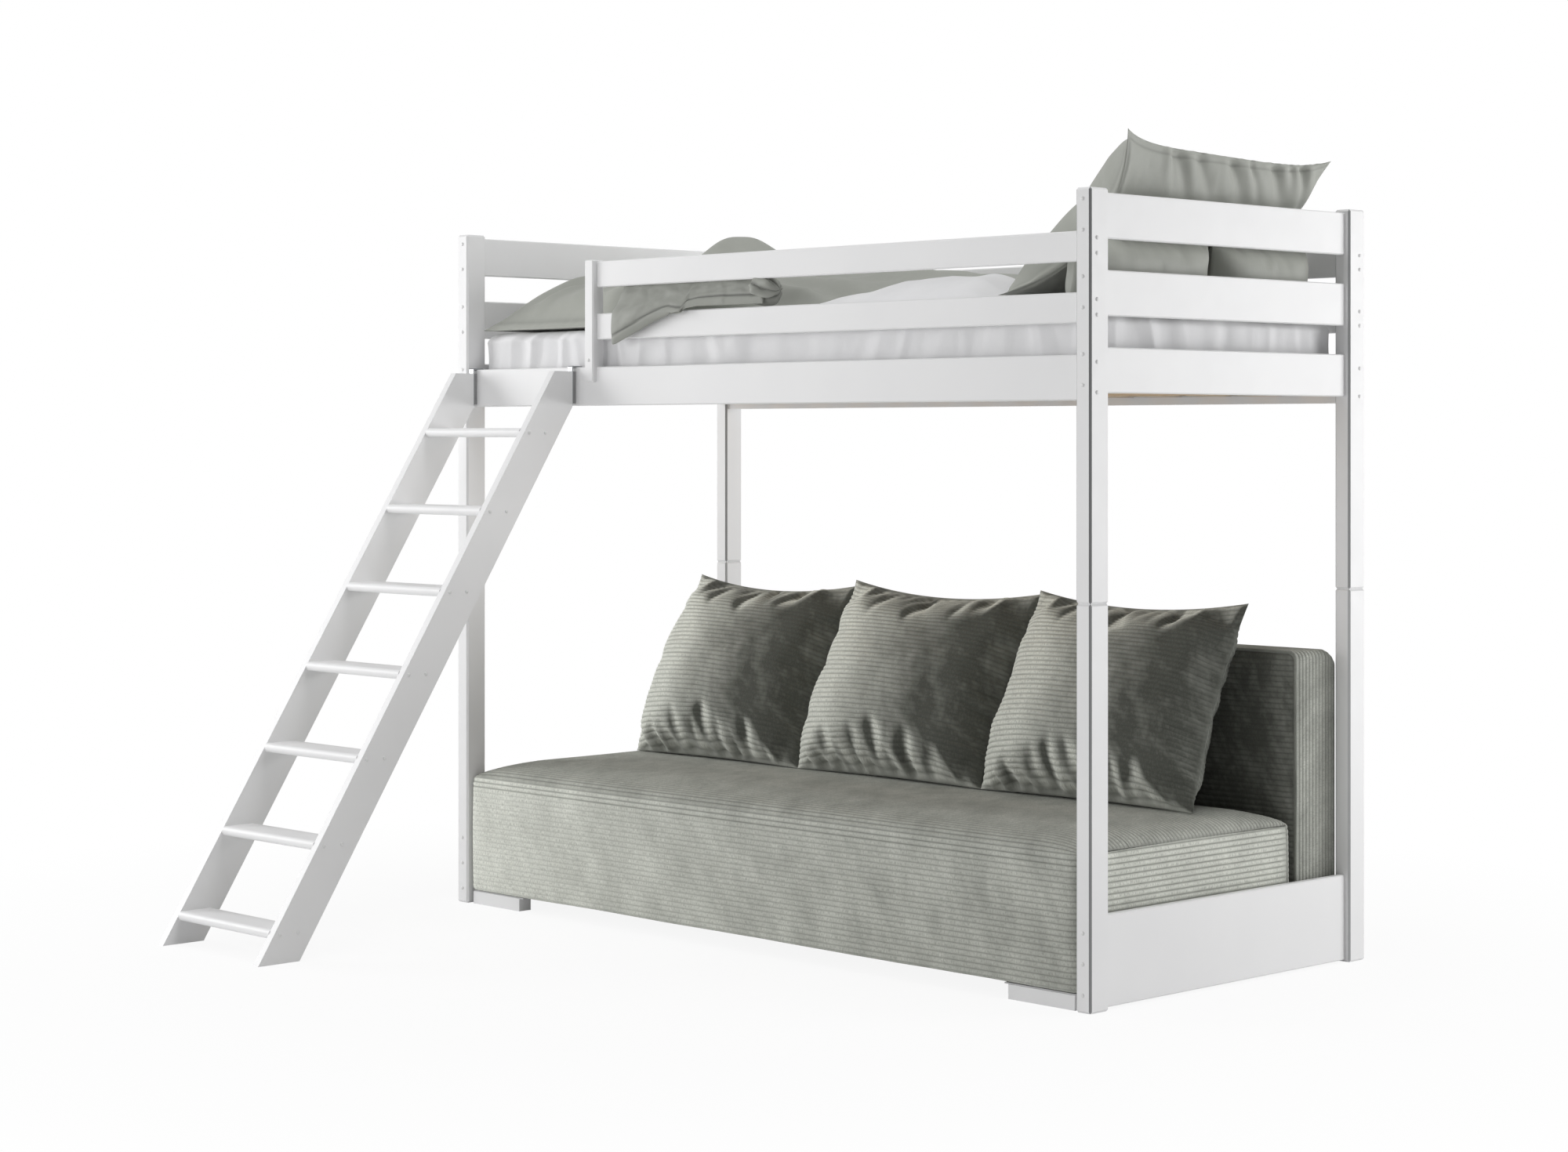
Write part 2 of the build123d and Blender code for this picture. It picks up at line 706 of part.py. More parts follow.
# The origin is the middle of the whole footprint, with the ladder's feet in it
origin = Pos(-frame_length / 2, (ladder_reach - frame_width - cap_proud) / 2, 0)
os.makedirs("parts", exist_ok=True)
for name, shape in nodes.items():
    export_step(origin * shape, f"parts/{name}.step")
print(len(nodes), "nodes")
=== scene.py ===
import math
import numpy as np
import bpy
import bmesh
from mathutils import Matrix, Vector, noise


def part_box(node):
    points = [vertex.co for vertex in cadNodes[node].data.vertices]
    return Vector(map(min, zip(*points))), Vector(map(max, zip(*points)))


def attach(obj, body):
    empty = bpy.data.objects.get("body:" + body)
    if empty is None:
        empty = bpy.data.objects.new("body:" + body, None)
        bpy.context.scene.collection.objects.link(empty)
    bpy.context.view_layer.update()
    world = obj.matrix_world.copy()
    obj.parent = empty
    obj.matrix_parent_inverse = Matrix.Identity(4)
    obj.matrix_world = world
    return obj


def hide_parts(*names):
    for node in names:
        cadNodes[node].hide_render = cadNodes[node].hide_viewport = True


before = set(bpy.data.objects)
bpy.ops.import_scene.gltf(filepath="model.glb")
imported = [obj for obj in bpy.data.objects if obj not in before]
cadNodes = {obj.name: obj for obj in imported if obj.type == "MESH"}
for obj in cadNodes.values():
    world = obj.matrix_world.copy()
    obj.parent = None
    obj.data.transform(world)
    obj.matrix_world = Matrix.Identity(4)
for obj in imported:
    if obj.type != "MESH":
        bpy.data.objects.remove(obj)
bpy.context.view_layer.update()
bedCorner = (-1.050, -0.0219, 0.0)  # the frame's front left corner on the floor, in the part's own axes


def place(x, y, z):  # millimetres from the bed's front left corner, in metres of the part
    return (x / 1000 + bedCorner[0], y / 1000 + bedCorner[1], z / 1000)


def tone(red, green, blue):  # a screen colour from 0 to 255, as linear light
    def linear(c):
        c = c / 255
        return c / 12.92 if c <= 0.04045 else ((c + 0.055) / 1.055) ** 2.4
    return (linear(red), linear(green), linear(blue), 1.0)


# Shader maths on sockets

def operator(operation, reflected=False):
    def apply(self, other):
        return self.math(operation, other, self) if reflected else self.math(operation, self, other)
    return apply


class Signal:
    __add__, __radd__ = operator("ADD"), operator("ADD", True)
    __sub__, __rsub__ = operator("SUBTRACT"), operator("SUBTRACT", True)
    __mul__, __rmul__ = operator("MULTIPLY"), operator("MULTIPLY", True)
    __truediv__ = operator("DIVIDE")
    __gt__ = operator("GREATER_THAN")

    def __init__(self, shader, socket):
        self.shader = shader
        self.socket = socket

    def math(self, operation, *values):
        return self.shader.add("ShaderNodeMath", {"operation": operation}, list(values))

    def abs(self):
        return self.math("ABSOLUTE", self)

    def clamp(self):
        return self.shader.add("ShaderNodeClamp", {}, [self, 0.0, 1.0])


class Nodes:
    def __init__(self, tree):
        self.tree = tree

    def add(self, kind, settings, values, output=0):
        node = self.tree.nodes.new(kind)
        for key, value in settings.items():
            setattr(node, key, value)
        pairs = values.items() if isinstance(values, dict) else enumerate(values)
        for key, value in pairs:
            self.put(node.inputs[key], value)
        return Signal(self, node.outputs[output])

    def put(self, socket, value):
        if isinstance(value, Signal):
            self.tree.links.new(value.socket, socket)
        else:
            socket.default_value = value

    def rays(self, *kinds):  # 1 for light rays of any of these kinds
        outputs = self.tree.nodes.new("ShaderNodeLightPath").outputs
        found = Signal(self, outputs[kinds[0]])
        for kind in kinds[1:]:
            found = found.math("MAXIMUM", found, Signal(self, outputs[kind]))
        return found


class Shader(Nodes):
    def __init__(self, name):
        self.material = bpy.data.materials.new(name)
        self.material.use_nodes = True
        super().__init__(self.material.node_tree)
        self.surface = self.tree.nodes["Principled BSDF"]

    def point(self, scale=(1, 1, 1), turn=(0, 0, 0)):  # object coordinates, stretched and turned
        spot = self.add("ShaderNodeTexCoord", {}, [], "Object")
        return self.add("ShaderNodeMapping", {}, {"Vector": spot, "Scale": scale, "Rotation": turn})

    def flat(self, x, y):
        return self.add("ShaderNodeCombineXYZ", {}, [x, y, 0.0])

    def axes(self, vector):
        split = self.tree.nodes.new("ShaderNodeSeparateXYZ")
        self.put(split.inputs[0], vector)
        return [Signal(self, output) for output in split.outputs]

    def cloud(self, vector, scale, detail=3.0, roughness=0.55):
        return self.add("ShaderNodeTexNoise", {}, {
            "Vector": vector, "Scale": scale, "Detail": detail, "Roughness": roughness}, "Fac")

    def attribute(self, name):
        return self.add("ShaderNodeAttribute", {"attribute_name": name}, [], "Fac")

    def blend(self, amount, first, second):  # mixes two colours
        return self.add("ShaderNodeMix", {"data_type": "RGBA"}, {0: amount, 6: first, 7: second}, 2)

    def bump(self, height, distance, strength=1.0, under=None):
        values = {"Height": height, "Distance": distance, "Strength": strength}
        if under is not None:
            values["Normal"] = under
        return self.add("ShaderNodeBump", {}, values)

    def finish(self, **values):
        for key, value in values.items():
            self.put(self.surface.inputs[key.replace("_", " ")], value)
        return self.material


# Finishes

paint = {
    "white": tone(238, 238, 238), "shade": tone(229, 229, 230), "joint": 0.842,
    "edges": {  # painted shade on the posts' vertical chamfers, above and below the joint
        "front_right": (tone(128, 129, 130), tone(146, 147, 148)),
        "back": (tone(158, 159, 160), tone(186, 187, 188)),
    },
}


def whitePaint(name, edges=None):
    shader = Shader(name)
    spot = shader.point()
    patches = shader.cloud(spot, 3.0, 2.0)
    colour = shader.blend(patches, paint["white"], paint["shade"])
    if edges:  # painted shade: the long vertical chamfers of these posts are coloured darker, more above the joint than below
        across, along = shader.axes(shader.add("ShaderNodeTexCoord", {}, [], "Normal"))[:2]
        corner = (across.abs() > 0.5) * (along.abs() > 0.5)
        height = shader.axes(shader.add("ShaderNodeTexCoord", {}, [], "Object"))[2]
        colour = shader.blend(corner, colour, shader.blend(height > paint["joint"], edges[1], edges[0]))
    grain = shader.cloud(spot, 60.0, 4.0, 0.6)
    brush = shader.cloud(shader.point((18, 18, 1.5)), 14.0, 2.0)
    roughness = shader.cloud(spot, 25.0, 3.0) * 0.12 + 0.36
    normal = shader.bump(grain * 0.5 + brush * 0.5, 0.00035, 0.35)
    return shader.finish(Base_Color=colour, Roughness=roughness, Normal=normal, Specular_IOR_Level=0.42)


def bareWood(name, light, dark, turn=(0, 0, 0)):
    shader = Shader(name)
    stretched = shader.point((2.2, 34, 34), turn)
    warp = shader.cloud(stretched, 1.2, 3.0)
    lines = shader.add("ShaderNodeTexWave", {"wave_type": "RINGS", "rings_direction": "X"}, {
        "Vector": stretched, "Scale": 0.55, "Distortion": 5.0, "Detail": 3.0, "Detail Scale": 1.4}, "Fac")
    fibre = shader.cloud(shader.point((6, 400, 400), turn), 1.0, 4.0)
    colour = shader.blend((lines * 0.55 + warp * 0.3 + fibre * 0.25).clamp(), light, dark)
    normal = shader.bump(fibre * 0.6 + lines * 0.4, 0.0004, 0.5)
    return shader.finish(Base_Color=colour, Roughness=fibre * 0.15 + 0.58, Normal=normal)


# the first colour, in the rib grooves, is partly the bare weave and partly painted shade; the second and third are the
# shaded and lit ends of the painted light on the cloth; the last is random mottling
corduroy = {
    "grooveShade": tone(88, 90, 84), "shadedPile": tone(88, 90, 84), "litPile": tone(232, 234, 225), "dark": tone(112, 114, 106),
    "dashAlong": 300.0, "dashAcross": 130.0,
}


def corduroyCloth():
    shader = Shader("corduroy")
    rib = shader.attribute("rib")
    along, across = shader.attribute("along"), shader.attribute("across")
    weave = shader.flat(along * corduroy["dashAlong"], across * corduroy["dashAcross"])
    dash = shader.cloud(weave, 1.0, 2.0, 0.6)
    turned = shader.flat(along * 1.5 + across * 0.8, across * 0.9 - along * 0.5)
    sweep = shader.cloud(turned, 6.0, 4.0, 0.65)
    patch = shader.cloud(turned, 26.0, 3.0, 0.6)
    # painted light and shade, stored on the pieces, with the pile's random mottling added, blends the cloth between its
    # shaded and its lit colour
    nap = (shader.attribute("nap") + (sweep - 0.5) * 0.7 + (patch - 0.5) * 0.35).clamp()
    grit = ((dash - 0.5) * 3.2 + 0.5).clamp()
    crest = (rib * 1.2 - 0.02 + (grit - 0.5) * 0.30).clamp()
    base = shader.blend(nap, corduroy["shadedPile"], corduroy["litPile"])
    base = shader.blend((patch * 0.8 + grit - 0.72).clamp() * 0.55, base, corduroy["dark"])
    # the rib grooves darker, partly the bare weave and partly painted shade, and lighter where the painted light is
    # higher
    base = shader.blend(crest, shader.blend(nap * 0.35, corduroy["grooveShade"], corduroy["litPile"]), base)
    normal = shader.bump(dash, 0.0013, 0.9)
    return shader.finish(Base_Color=base, Roughness=0.92, Normal=normal, Sheen_Weight=0.18, Sheen_Roughness=0.5,
                         Sheen_Tint=(0.86, 0.88, 0.84, 1.0), Specular_IOR_Level=0.15)


def satinCloth(name, colour, shade, roughness=0.52):
    shader = Shader(name)
    spot = shader.point()
    weaveA = shader.cloud(shader.point((1, 1, 0.15), (0.0, 0.6, 0.4)), 900.0, 1.0)
    weaveB = shader.cloud(shader.point((0.15, 1, 1), (0.5, 0.0, 0.2)), 900.0, 1.0)
    patches = shader.cloud(spot, 6.0, 3.0)
    soft = shader.cloud(spot, 38.0, 4.0, 0.6)
    tint = shader.blend((patches * 0.6 + soft * 0.4), colour, shade)
    tint = shader.blend((weaveA * 0.5 + weaveB * 0.5) * 0.25, tint, shade)
    # painted shade: the seam attribute darkens the cloth towards near black along the sunken seams, over the duvet
    # corner's flap and in the knot's folds
    seam = shader.attribute("seam")
    tint = shader.blend(seam.clamp() * 0.85, tint, (0.03, 0.03, 0.028, 1.0))
    fine = shader.bump(weaveA + weaveB, 0.0004, 0.4)
    normal = shader.bump(soft, 0.002, 0.22, fine)
    return shader.finish(Base_Color=tint, Roughness=soft * 0.12 + roughness, Normal=normal, Sheen_Weight=0.12,
                         Sheen_Roughness=0.4, Specular_IOR_Level=0.35)


def plainFinish(name, colour, roughness, metallic=0.0, scale=80.0):
    shader = Shader(name)
    spot = shader.point()
    speck = shader.cloud(spot, scale, 4.0, 0.6)
    wear = shader.cloud(spot, 12.0, 3.0)
    other = tuple(c * 0.82 for c in colour[:3]) + (1.0,)
    tint = shader.blend(wear * 0.6 + speck * 0.3, colour, other)
    normal = shader.bump(speck, 0.0002, 0.4)
    return shader.finish(Base_Color=tint, Roughness=speck * 0.14 + roughness, Metallic=metallic, Normal=normal)


frameWhite = whitePaint("framePaint")
# the posts' paint, with painted shade on their vertical chamfers
postPaintShadedChamfers = {side: whitePaint("postPaint_" + side, edges) for side, edges in paint["edges"].items()}
capWhite = plainFinish("screwCapPlastic", tone(232, 232, 232), 0.30)
slatWood = bareWood("slatPine", tone(214, 190, 156), tone(178, 146, 106), (0, 0, math.radians(90)))
ledgerWood = bareWood("ledgerPine", tone(214, 190, 156), tone(178, 146, 106))
hookSteel = plainFinish("hookSteel", tone(176, 178, 180), 0.30, 1.0, 240.0)
padRubber = plainFinish("padRubber", tone(150, 150, 151), 0.70)
strapCloth = plainFinish("strapWebbing", tone(206, 204, 198), 0.85, 0.0, 500.0)
footPaint = whitePaint("footPaint")
plateGrey = plainFinish("plateGrey", tone(200, 200, 201), 0.42)
corduroyRibs = corduroyCloth()
beddingSatin = satinCloth("beddingSatin", tone(174, 176, 169), tone(158, 160, 153))
sheetCotton = satinCloth("sheetCotton", tone(236, 236, 236), tone(224, 224, 226), 0.68)
print("finishes ready")

finishes = (  # by the start of a node's name
    ("post_dowels", slatWood), ("bed_slats", slatWood), ("slat_straps", strapCloth), ("sofa_runners", ledgerWood),
    ("ladder_hook_pads", padRubber), ("ladder_hook", hookSteel), ("sofa_feet", footPaint),
    ("sofa_foot_plates", plateGrey), ("sofa_", corduroyRibs), ("mattress", sheetCotton), ("top_sheet", sheetCotton),
    ("duvet", beddingSatin), ("bed_pillow", beddingSatin),
)


def finishFor(name):
    if name.endswith("_screws"):
        return capWhite
    for start, finish in finishes:
        if name.startswith(start):
            return finish
    for side, finish in postPaintShadedChamfers.items():
        if name.startswith("post_") and side in name:
            return finish
    return frameWhite


for name, node in cadNodes.items():
    node.data.materials.clear()
    node.data.materials.append(finishFor(name))


# Mesh helpers

def gridFaces(rows, columns, first=0, flip=False, closed=False):
    faces = []
    for row in range(rows - 1):
        for column in range(columns if closed else columns - 1):
            near, far = first + row * columns, first + (row + 1) * columns
            after = (column + 1) % columns
            quad = (near + column, near + after, far + after, far + column)
            faces.append(quad[::-1] if flip else quad)
    return faces


def rimFaces(rows, columns, first, second, flip=False):  # joins the borders of two facing grids
    rim = [(0, k) for k in range(columns)] + [(r, columns - 1) for r in range(1, rows)]
    rim += [(rows - 1, k) for k in range(columns - 2, -1, -1)] + [(r, 0) for r in range(rows - 2, 0, -1)]
    faces = []
    for (r, k), (d, m) in zip(rim, rim[1:] + rim[:1]):
        i, j = r * columns + k, d * columns + m
        quad = (first + i, first + j, second + j, second + i)
        faces.append(quad[::-1] if flip else quad)
    return faces


def slabFaces(rows, columns, first, second, flip=False):  # two facing grids joined at their borders
    return (gridFaces(rows, columns, first, flip) + gridFaces(rows, columns, second, not flip)
            + rimFaces(rows, columns, first, second, not flip))


def addPiece(name, points, faces, material, body, values):
    mesh = bpy.data.meshes.new(name)
    mesh.from_pydata([tuple(p) for p in points], [], faces)
    for key, numbers in values.items():
        mesh.attributes.new(key, "FLOAT", "POINT").data.foreach_set("value", np.asarray(numbers, dtype=np.float32))
    mesh.materials.append(material)
    mesh.polygons.foreach_set("use_smooth", [True] * len(mesh.polygons))
    mesh.update()
    piece = bpy.data.objects.new(name, mesh)
    bpy.context.scene.collection.objects.link(piece)
    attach(piece, body)
    return piece


def weld(piece, distance=1e-6):  # closes the seams between patches and turns the faces outwards
    shape = bmesh.new()
    shape.from_mesh(piece.data)
    bmesh.ops.remove_doubles(shape, verts=shape.verts, dist=distance)
    bmesh.ops.recalc_face_normals(shape, faces=shape.faces)
    shape.to_mesh(piece.data)
    shape.free()
    piece.data.update()


def finishSoft(piece, replaced=None, rounded=False):
    weld(piece)
    if rounded:
        soften = piece.modifiers.new("soften", "SUBSURF")
        soften.levels = soften.render_levels = 1
    if replaced:
        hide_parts(replaced)
    print(piece.name, len(piece.data.polygons), "faces")


def joined(**lists):  # one array for each surface value
    return {key: np.concatenate(parts) for key, parts in lists.items()}


def ribHeight(distance):
    return np.abs(np.sin(np.pi * distance / sofa["ribPitch"])) ** 0.62


def cubic(a, b, c, d, t):  # a soft curve from b to c
    return 0.5 * (2 * b + (c - a) * t + (2 * a - 5 * b + 4 * c - d) * t * t + (3 * b - a - 3 * c + d) * t ** 3)


def smoothSteps(points, spacing):  # a soft curve through the points, resampled at an even spacing
    points = np.asarray(points, float)
    ends = np.vstack([2 * points[0] - points[1], points, 2 * points[-1] - points[-2]])
    curve = []
    for index in range(len(points) - 1):
        a, b, c, d = ends[index:index + 4]
        for t in np.linspace(0, 1, 24, endpoint=False):
            curve.append(cubic(a, b, c, d, t))
    curve.append(points[-1])
    return evenSteps(np.array(curve), spacing)


def evenSteps(curve, spacing):
    lengths = np.r_[0, np.cumsum(np.linalg.norm(np.diff(curve, axis=0), axis=1))]
    count = max(2, int(round(lengths[-1] / spacing)) + 1)
    stations = np.linspace(0, lengths[-1], count)
    return np.column_stack([np.interp(stations, lengths, curve[:, k]) for k in range(curve.shape[1])]), stations


def sideways(curve):  # unit normals of a flat curve, to the left of its way
    way = np.gradient(curve, axis=0)
    way /= np.linalg.norm(way, axis=1)[:, None] + 1e-9
    return np.column_stack([-way[:, 1], way[:, 0]])


def ease(x):
    x = np.clip(x, 0, 1)
    return x * x * (3 - 2 * x)


def wobble(x, y, z=0.0, seed=0.0):
    return noise.noise(Vector((x + seed * 7.3, y - seed * 3.1, z + seed * 1.7)))


wobbleGrid = np.vectorize(wobble)

# Screw caps: a low dome on every screw, as one piece for each body

caps = {
    "radius": 0.0046, "rise": 0.0023, "rings": 8, "sides": 16, "shank": 0.0038,
    "onFrame": ("long_rail_screws", "guard_upright_screws", "end_rail_screws", "end_panel_screws"),
    "onLadder": ("ladder_step_screws",),
}


def capPlaces(names):
    spots = []
    for name in names:
        shape = bmesh.new()
        shape.from_mesh(cadNodes[name].data)
        bmesh.ops.remove_doubles(shape, verts=shape.verts, dist=1e-5)
        seen = set()
        for start in shape.verts:
            if start in seen:
                continue
            island, queue = [], [start]
            seen.add(start)
            while queue:
                vert = queue.pop()
                island.append(vert.co.copy())
                for edge in vert.link_edges:
                    other = edge.other_vert(vert)
                    if other not in seen:
                        seen.add(other)
                        queue.append(other)
            points = np.array(island)
            spans = points.max(0) - points.min(0)
            axis = int(np.argmax(spans))
            middle = (points.max(0) + points.min(0)) / 2
            flat = np.delete(points - middle, axis, 1)
            wide = points[np.linalg.norm(flat, axis=1) > caps["shank"]]  # the head, under the cap
            side = 1 if wide[:, axis].mean() > middle[axis] else -1
            spot = middle.copy()
            spot[axis] = wide[:, axis].min() if side > 0 else wide[:, axis].max()
            way = np.zeros(3)
            way[axis] = side
            spots.append((spot, way))
        shape.free()
    return spots


def capTree():
    build = Nodes(bpy.data.node_groups.new("capsOnPoints", "GeometryNodeTree"))
    sockets = (("Geometry", "INPUT", "Geometry"), ("Radius", "INPUT", "Float"), ("Rise", "INPUT", "Float"),
               ("Finish", "INPUT", "Material"), ("Geometry", "OUTPUT", "Geometry"))
    for name, way, kind in sockets:
        build.tree.interface.new_socket(name, in_out=way, socket_type="NodeSocket" + kind)
    entry = build.tree.nodes.new("NodeGroupInput")
    points, radius, rise, finish = [Signal(build, socket) for socket in entry.outputs[:4]]
    shape = {"Segments": caps["sides"], "Rings": caps["rings"], "Radius": radius}
    ball = build.add("GeometryNodeMeshUVSphere", {}, shape)
    squeeze = build.add("ShaderNodeCombineXYZ", {}, [1.0, 1.0, rise / radius])
    dome = build.add("GeometryNodeTransform", {}, {"Geometry": ball, "Scale": squeeze})
    facing = build.add("GeometryNodeInputNamedAttribute", {"data_type": "FLOAT_VECTOR"}, {"Name": "facing"})
    align = build.add("FunctionNodeAlignRotationToVector", {"axis": "Z"}, {"Vector": facing})
    spread = build.add("GeometryNodeInstanceOnPoints", {}, {"Points": points, "Instance": dome, "Rotation": align})
    real = build.add("GeometryNodeRealizeInstances", {}, {"Geometry": spread})
    painted = build.add("GeometryNodeSetMaterial", {}, {"Geometry": real, "Material": finish})
    build.put(build.tree.nodes.new("NodeGroupOutput").inputs["Geometry"], painted)
    return build.tree


def bakeNodes(piece, tree, settings):
    modifier = piece.modifiers.new("build", "NODES")
    modifier.node_group = tree
    for item in tree.interface.items_tree:
        if item.in_out == "INPUT" and item.name in settings:
            modifier[item.identifier] = settings[item.name]
    piece.update_tag()
    graph = bpy.context.evaluated_depsgraph_get()
    graph.update()
    mesh = bpy.data.meshes.new_from_object(piece.evaluated_get(graph))
    piece.modifiers.clear()
    old = piece.data
    piece.data = mesh
    bpy.data.meshes.remove(old)


def makeCaps(name, body, nodeNames, tree):
    spots = capPlaces(nodeNames)
    mesh = bpy.data.meshes.new(name)
    mesh.from_pydata([tuple(spot) for spot, way in spots], [], [])
    mesh.attributes.new("facing", "FLOAT_VECTOR", "POINT").data.foreach_set(
        "vector", np.array([way for spot, way in spots], dtype=np.float32).ravel())
    piece = bpy.data.objects.new(name, mesh)
    bpy.context.scene.collection.objects.link(piece)
    bakeNodes(piece, tree, {"Radius": caps["radius"], "Rise": caps["rise"], "Finish": capWhite})
    piece.data.polygons.foreach_set("use_smooth", [True] * len(piece.data.polygons))
    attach(piece, body)
    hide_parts(*nodeNames)
    print(name, len(spots), "caps")


tree = capTree()
makeCaps("frameScrewCaps", "frame", caps["onFrame"], tree)
makeCaps("ladderScrewCaps", "ladder", caps["onLadder"], tree)

# Sofa seat: one ribbed cloth from the front over the top, and a ribbed panel at each end

sofa = {"ribPitch": 0.0123, "ribDepth": 0.0021, "step": 0.00205}
seat = {
    "seam": 0.322, "corner": 0.022, "endRise": 0.13, "bulge": 0.0026,
    "frontFlat": 0.296, "pressed": 0.72, "raised": 1.25,  # the flat front's height, its ribs' depth and the other ribs'
    "foot": ((0.010, 0.0), (0.003, 0.006), (0.0, 0.02), (-0.002, 0.14)),  # in from the front, up from the bottom
    "front": ((0, 0.290), (0.001, 0.308), (0.007, 0.324)),  # in from the front, height above the floor
    "crownAway": (0, 0.006, 0.022, 0.045, 0.075, 0.119, 0.165, 0.208, 9),
    "crownShare": (0, 0.2, 0.44, 0.62, 0.78, 0.915, 0.98, 1, 1),
    "ends": (0, 0.001, 0.004, 0.009, 0.016, 0.026, 0.04, 0.06, 0.085, 0.115, 0.15),
    # painted light and shade on the seat: the front lighter towards its left end, the top darker, the ends lighter, and
    # the front's groove shade growing towards its right end
    "napFront": (1.0, 0.74, 0.52), "napTop": 0.50, "napEnd": 0.84, "frontGrooveShade": (0.38, 0.58, 0.80),
}


def crownShare(distance):  # how far the top has risen at a distance from its edge
    return np.interp(distance, seat["crownAway"], seat["crownShare"])


def makeSeat():
    low, high = (np.array(v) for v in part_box("sofa_seat"))
    front, back, bottom, top = low[1], high[1], low[2], high[2]
    rise = top - seat["seam"]
    half = [(y, bottom + z) for y, z in seat["foot"]] + list(seat["front"])
    half += [(d, seat["seam"] + float(crownShare(d)) * rise) for d in seat["crownAway"][2:-1]]
    outline = [(front + y, z) for y, z in half] + [(back - y, z) for y, z in reversed(half)]
    line, stations = smoothSteps(outline, sofa["step"])
    normals = sideways(line)
    rib = ribHeight(stations)
    flat = line[:, 1] < seat["frontFlat"]  # the upright front, where the ribs are pressed flatter
    depths = sofa["ribDepth"] * np.where(flat, seat["pressed"], seat["raised"])
    left = np.r_[seat["ends"], np.linspace(0.19, (high[0] - low[0]) / 2, 26)]
    distances = np.r_[left, left[-2::-1]]
    xs = np.r_[low[0] + left, high[0] - left[-2::-1]]
    points, ribs = [], []
    for x, distance in zip(xs, distances):
        share = float(crownShare(distance * seat["crownAway"][-2] / seat["endRise"]))
        radius = seat["corner"]
        tuck = radius - math.sqrt(max(0.0, radius ** 2 - max(0.0, radius - distance) ** 2))
        soft = [wobble(x * 3.1, s * 2.2, 0, 5) * 0.0016 + wobble(x * 9, s * 7, 0, 2) * 0.0007 for s in stations[::12]]
        soft = np.interp(stations, stations[::12], soft)
        moved = line + normals * (depths * (rib - 1) + soft)[:, None]
        y, z = moved[:, 0].copy(), moved[:, 1].copy()
        above = z > seat["seam"]
        z[above] = seat["seam"] + (z[above] - seat["seam"]) * share - (0.0018 * (1 - rib[above])) * (1 - share)
        towards = np.where(y < (front + back) / 2, 1, -1) * (np.abs(normals[:, 0]) ** 0.5)
        y += towards * tuck
        points.append(np.column_stack([np.full_like(y, x), y, z]))
        # painted shade in the rib grooves, weaker on the flat front and growing towards its right end
        strength = np.where(flat, np.interp(x, (low[0], low[0] + 0.8, high[0]), seat["frontGrooveShade"]), 1.0)
        ribs.append((1 - strength * (1 - rib)) * min(1, 0.25 + distance / 0.006))
    for which, inward in ((0, 1), (-1, -1)):  # a lip turned in at each end
        lip = points[which] + (points[which].mean(0) - points[which]) * 0.012
        lip[:, 0] = points[which][:, 0] + inward * 0.008
        points.insert(0 if which == 0 else len(points), lip)
        ribs.insert(0 if which == 0 else len(ribs), ribs[which])
    xs = np.r_[xs[0], xs, xs[-1]]
    grid = np.array(points)
    count = grid.shape[1]
    verts = grid.reshape(-1, 3)
    faces = gridFaces(len(xs), count)
    values = np.concatenate(ribs)
    bottomRows = [(k * count, (k + 1) * count, (k + 2) * count - 1, (k + 1) * count - 1) for k in range(len(xs) - 1)]
    faces += bottomRows + [tuple(range(count)), tuple(range(len(verts) - count, len(verts)))]
    allPoints, allFaces, allRibs = [verts], list(faces), [values]
    alongs, acrosses = [verts[:, 0]], [np.tile(stations, len(xs))]
    # painted light: the front lighter towards its left end and the top darker
    frontLight = np.interp(verts[:, 0], (low[0], low[0] + 0.5, high[0]), seat["napFront"])
    naps = [np.where(verts[:, 2] < seat["seam"], frontLight, seat["napTop"])]
    offset = len(verts)
    for side, row in ((-1, grid[1]), (1, grid[-2])):  # end panels, ribbed level like the front
        zs = np.arange(bottom, seat["seam"] + 1e-6, sofa["step"])
        zs = np.r_[zs[:-1], seat["seam"]]
        frontHalf = row[: count // 2]
        backHalf = row[count // 2:][::-1]
        columns = np.linspace(0, 1, 30)
        panel, shades = [], []
        for z in zs:
            first = np.interp(z, np.maximum.accumulate(frontHalf[:, 2]), frontHalf[:, 1])
            last = np.interp(z, np.maximum.accumulate(backHalf[:, 2]), backHalf[:, 1])
            share = (z - bottom) / (seat["seam"] - bottom)
            wave = float(ribHeight(z - bottom))
            for u in columns:
                edge = min(u, 1 - u) * (last - first)
                puff = seat["bulge"] * min(1, (edge / 0.05)) ** 0.5 * min(1, 4 * share * (1 - share) + 0.15)
                fade = min(1, edge / 0.008) * min(1, (seat["seam"] - z) / 0.004 + 0.1)
                y = first + (last - first) * u
                uneven = 0.0012 * wobble(y * 5, z * 6, side, 1)
                panel.append((row[0, 0] + side * (puff + sofa["ribDepth"] * 1.4 * (wave - 1) * fade + uneven), y, z))
                shades.append(wave * (0.3 + 0.7 * fade))
        panel = np.array(panel)
        panel = np.vstack([panel, panel - (side * 0.005, 0, 0)])
        allPoints.append(panel)
        alongs.append(panel[:, 1])
        acrosses.append(panel[:, 2])
        # painted light: the end panels lighter
        naps.append(np.full(len(panel), seat["napEnd"]))
        inner = offset + len(shades)
        allFaces += slabFaces(len(zs), len(columns), offset, inner)
        allRibs.append(np.array(shades * 2))
        offset += len(panel)
    piece = addPiece("seatCorduroy", np.vstack(allPoints), allFaces, corduroyRibs, "sofa_seat",
                     joined(rib=allRibs, along=alongs, across=acrosses, nap=naps))
    finishSoft(piece, "sofa_seat")


# Backrest: a ribbed front panel, and a border whose ribs run up one end, along the top and down the other

